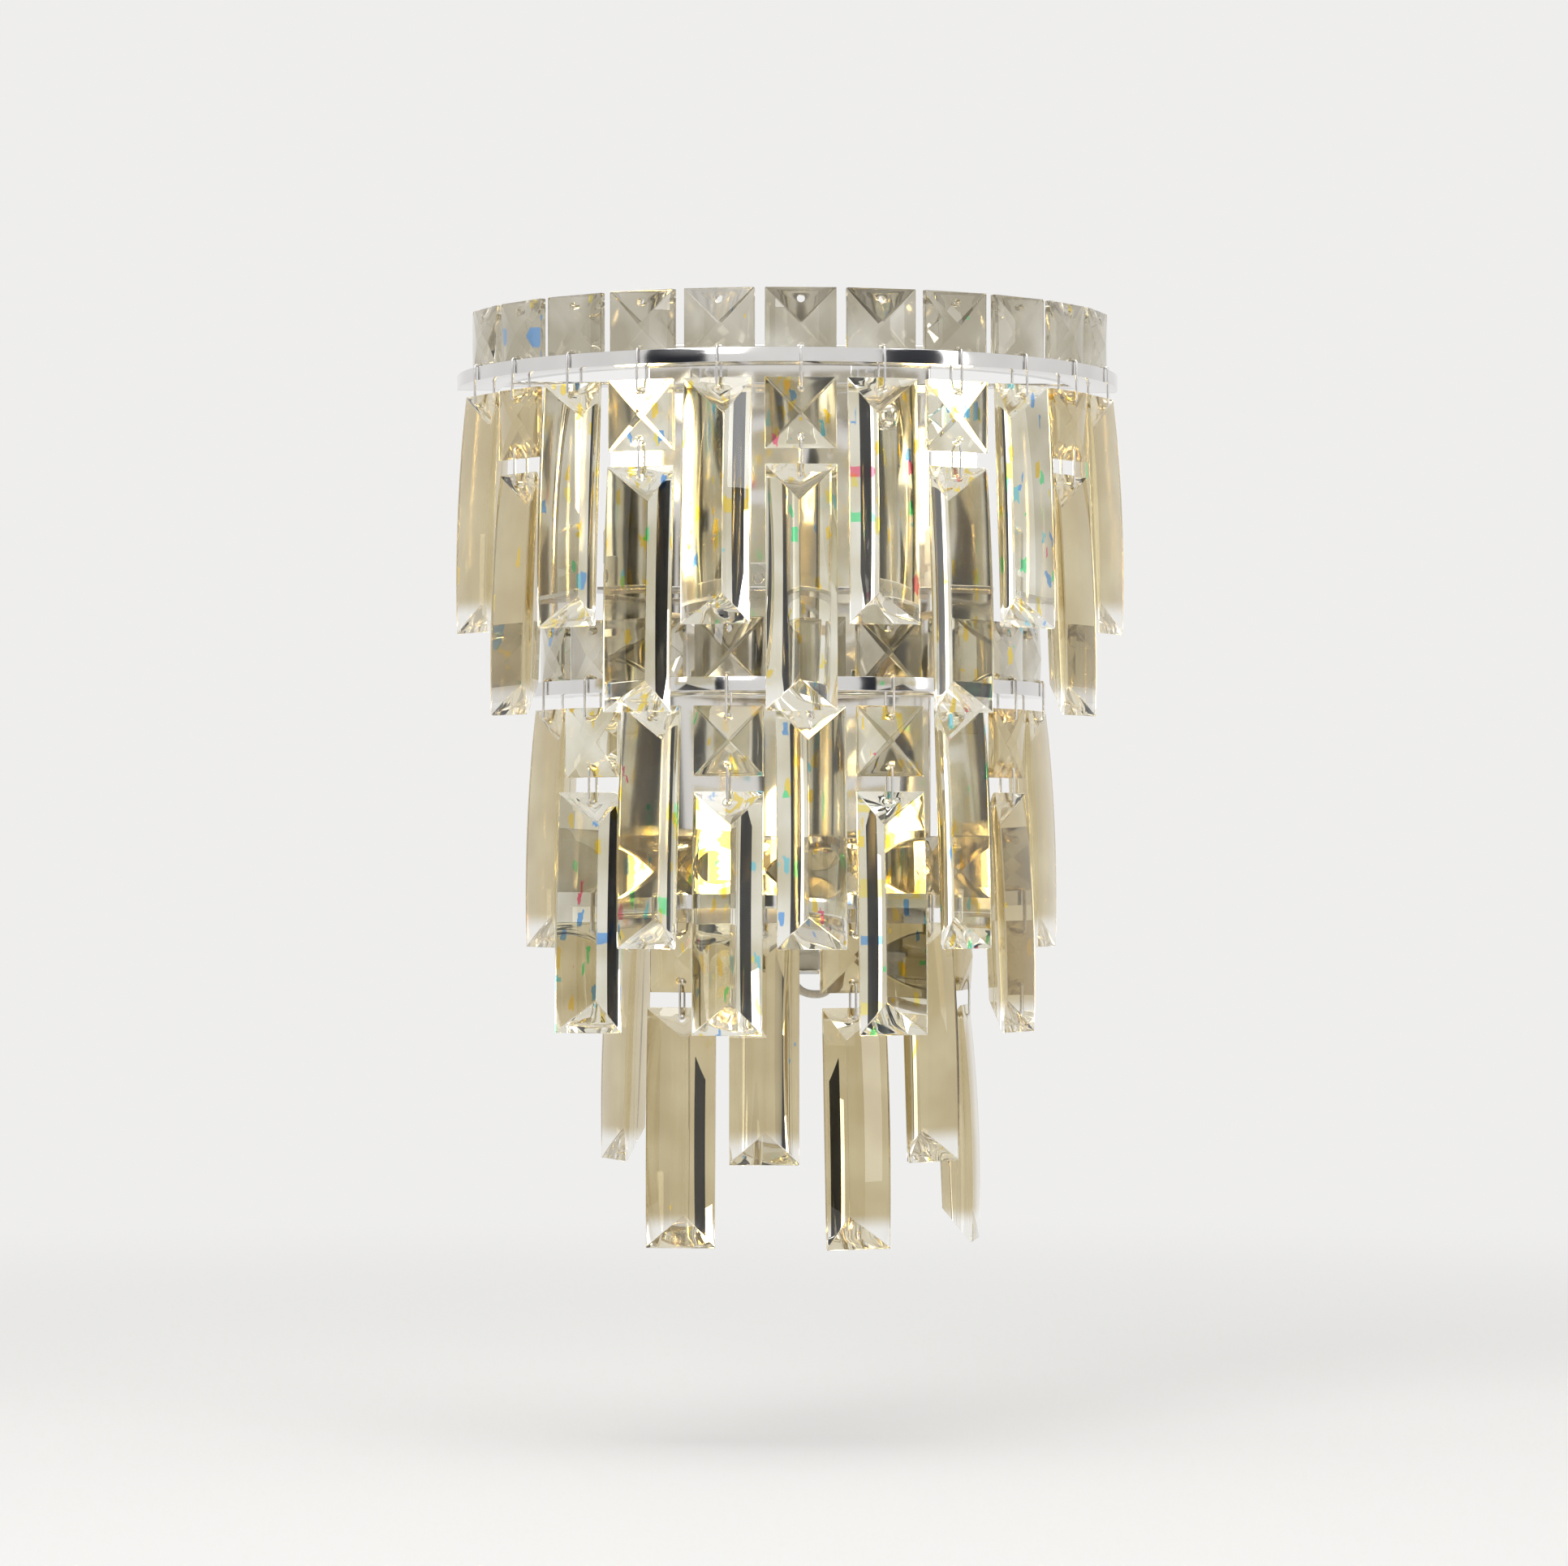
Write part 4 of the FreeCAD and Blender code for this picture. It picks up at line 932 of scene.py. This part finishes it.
def makeStage():
    bm = bmesh.new()
    bmesh.ops.create_grid(bm, x_segments=8, y_segments=8, size=stageLook["floorSize"])
    mesh = bpy.data.meshes.new("paleFloor")
    bm.to_mesh(mesh)
    bm.free()
    floor = bpy.data.objects.new("paleFloor", mesh)
    floor.location = (0, 0, stageLook["floorAt"])
    bpy.context.scene.collection.objects.link(floor)
    material, nodes, links, shader = nodeSet("paleFloor")
    shader.inputs["Base Color"].default_value = (*stageLook["pale"], 1)
    shader.inputs["Roughness"].default_value = 0.9
    far = nodes.new("ShaderNodeEmission")
    far.inputs["Color"].default_value = (*stageLook["pale"], 1)
    place3d = nodes.new("ShaderNodeTexCoord")
    distance = nodes.new("ShaderNodeVectorMath")
    distance.operation = "LENGTH"
    links.new(place3d.outputs["Object"], distance.inputs[0])
    fade = nodes.new("ShaderNodeMapRange")
    fade.interpolation_type = "SMOOTHSTEP"
    fade.inputs["From Min"].default_value = stageLook["fadeFrom"]
    fade.inputs["From Max"].default_value = stageLook["fadeTo"]
    fade.inputs["To Min"].default_value = 0.35
    links.new(distance.outputs["Value"], fade.inputs["Value"])
    shown = nodes.new("ShaderNodeMath")
    shown.operation = "MULTIPLY"
    links.new(seenRays(nodes, links), shown.inputs[0])
    links.new(fade.outputs["Result"], shown.inputs[1])
    mix = nodes.new("ShaderNodeMixShader")
    links.new(shown.outputs["Value"], mix.inputs["Fac"])
    links.new(shader.outputs["BSDF"], mix.inputs[1])
    links.new(far.outputs["Emission"], mix.inputs[2])
    links.new(mix.outputs["Shader"], nodes["Material Output"].inputs["Surface"])
    mesh.materials.append(material)


def makeWorld():
    world = bpy.data.worlds.new("paleRoom")
    bpy.context.scene.world = world
    world.use_nodes = True
    nodes, links = world.node_tree.nodes, world.node_tree.links
    plain = nodes["Background"]
    plain.inputs["Color"].default_value = (*stageLook["worldColor"], 1)
    plain.inputs["Strength"].default_value = stageLook["worldStrength"]
    seen = nodes.new("ShaderNodeBackground")
    seen.inputs["Color"].default_value = (*stageLook["pale"], 1)
    seen.inputs["Strength"].default_value = 1
    mix = nodes.new("ShaderNodeMixShader")
    links.new(seenRays(nodes, links), mix.inputs["Fac"])
    links.new(plain.outputs["Background"], mix.inputs[1])
    links.new(seen.outputs["Background"], mix.inputs[2])
    links.new(mix.outputs["Shader"], nodes["World Output"].inputs["Surface"])


def addLight(name, spot, target, size, power):
    data = bpy.data.lights.new(name, "AREA")
    data.shape = "RECTANGLE"
    data.size, data.size_y = size
    data.energy = power
    obj = bpy.data.objects.new(name, data)
    obj.location = spot
    obj.rotation_euler = (Vector(target) - Vector(spot)).to_track_quat("-Z", "Y").to_euler()
    bpy.context.scene.collection.objects.link(obj)


def addFlag(name, low, high):
    # a dark card beside the object, hidden from the camera, for dark lines in glass and chrome
    bm = bmesh.new()
    boxInto(bm, low, high)
    mesh = bpy.data.meshes.new(name)
    bmesh.ops.recalc_face_normals(bm, faces=bm.faces)
    bm.to_mesh(mesh)
    bm.free()
    obj = bpy.data.objects.new(name, mesh)
    bpy.context.scene.collection.objects.link(obj)
    mesh.materials.append(darkCard)
    obj.visible_camera = False
    obj.visible_shadow = False
    obj.visible_diffuse = False


darkCard = makePlain("darkCard", (0.012, 0.014, 0.022), (0.008, 0.010, 0.016), 0.8, 30.0, 0.0, 0.1)
makeStage()
makeWorld()
addLight("keySoft", (-0.9, -1.5, 0.9), (0, 0, -0.02), (0.9, 1.2), 16)
addLight("fillSoft", (1.3, -1.2, 0.3), (0, 0, -0.02), (0.8, 1.4), 8)
addLight("topSoft", (0, -0.3, 1.3), (0, 0, 0), (1.0, 0.8), 8)
for side, label in ((-1, "left"), (1, "right")):
    middle, half = side * cardLook["across"], cardLook["thick"] / 2
    addFlag(label + "Flag", (middle - half, cardLook["out"][0], cardLook["up"][0]),
            (middle + half, cardLook["out"][1], cardLook["up"][1]))

cameraLook = dict(spot=(-0.0768, -1.7238, -0.0740), yaw=2.515, pitch=0.866, focal=6523, wide=1932,
                  sensor=36)
cameraData = bpy.data.cameras.new("photoCamera")
cameraData.sensor_width = cameraLook["sensor"]
cameraData.lens = cameraLook["sensor"] * cameraLook["focal"] / cameraLook["wide"]
cameraData.clip_start, cameraData.clip_end = 0.05, 60
camera = bpy.data.objects.new("photoCamera", cameraData)
camera.location = cameraLook["spot"]
yaw, pitch = math.radians(cameraLook["yaw"]), math.radians(cameraLook["pitch"])
looking = Vector((math.sin(yaw) * math.cos(pitch), math.cos(yaw) * math.cos(pitch), math.sin(pitch)))
camera.rotation_euler = looking.to_track_quat("-Z", "Y").to_euler()
bpy.context.scene.collection.objects.link(camera)
bpy.context.scene.camera = camera
bpy.context.scene.view_settings.view_transform = "Standard"
for bounces in ("max_bounces", "transmission_bounces", "glossy_bounces"):
    setattr(bpy.context.scene.cycles, bounces, 32)

print("scene ready")
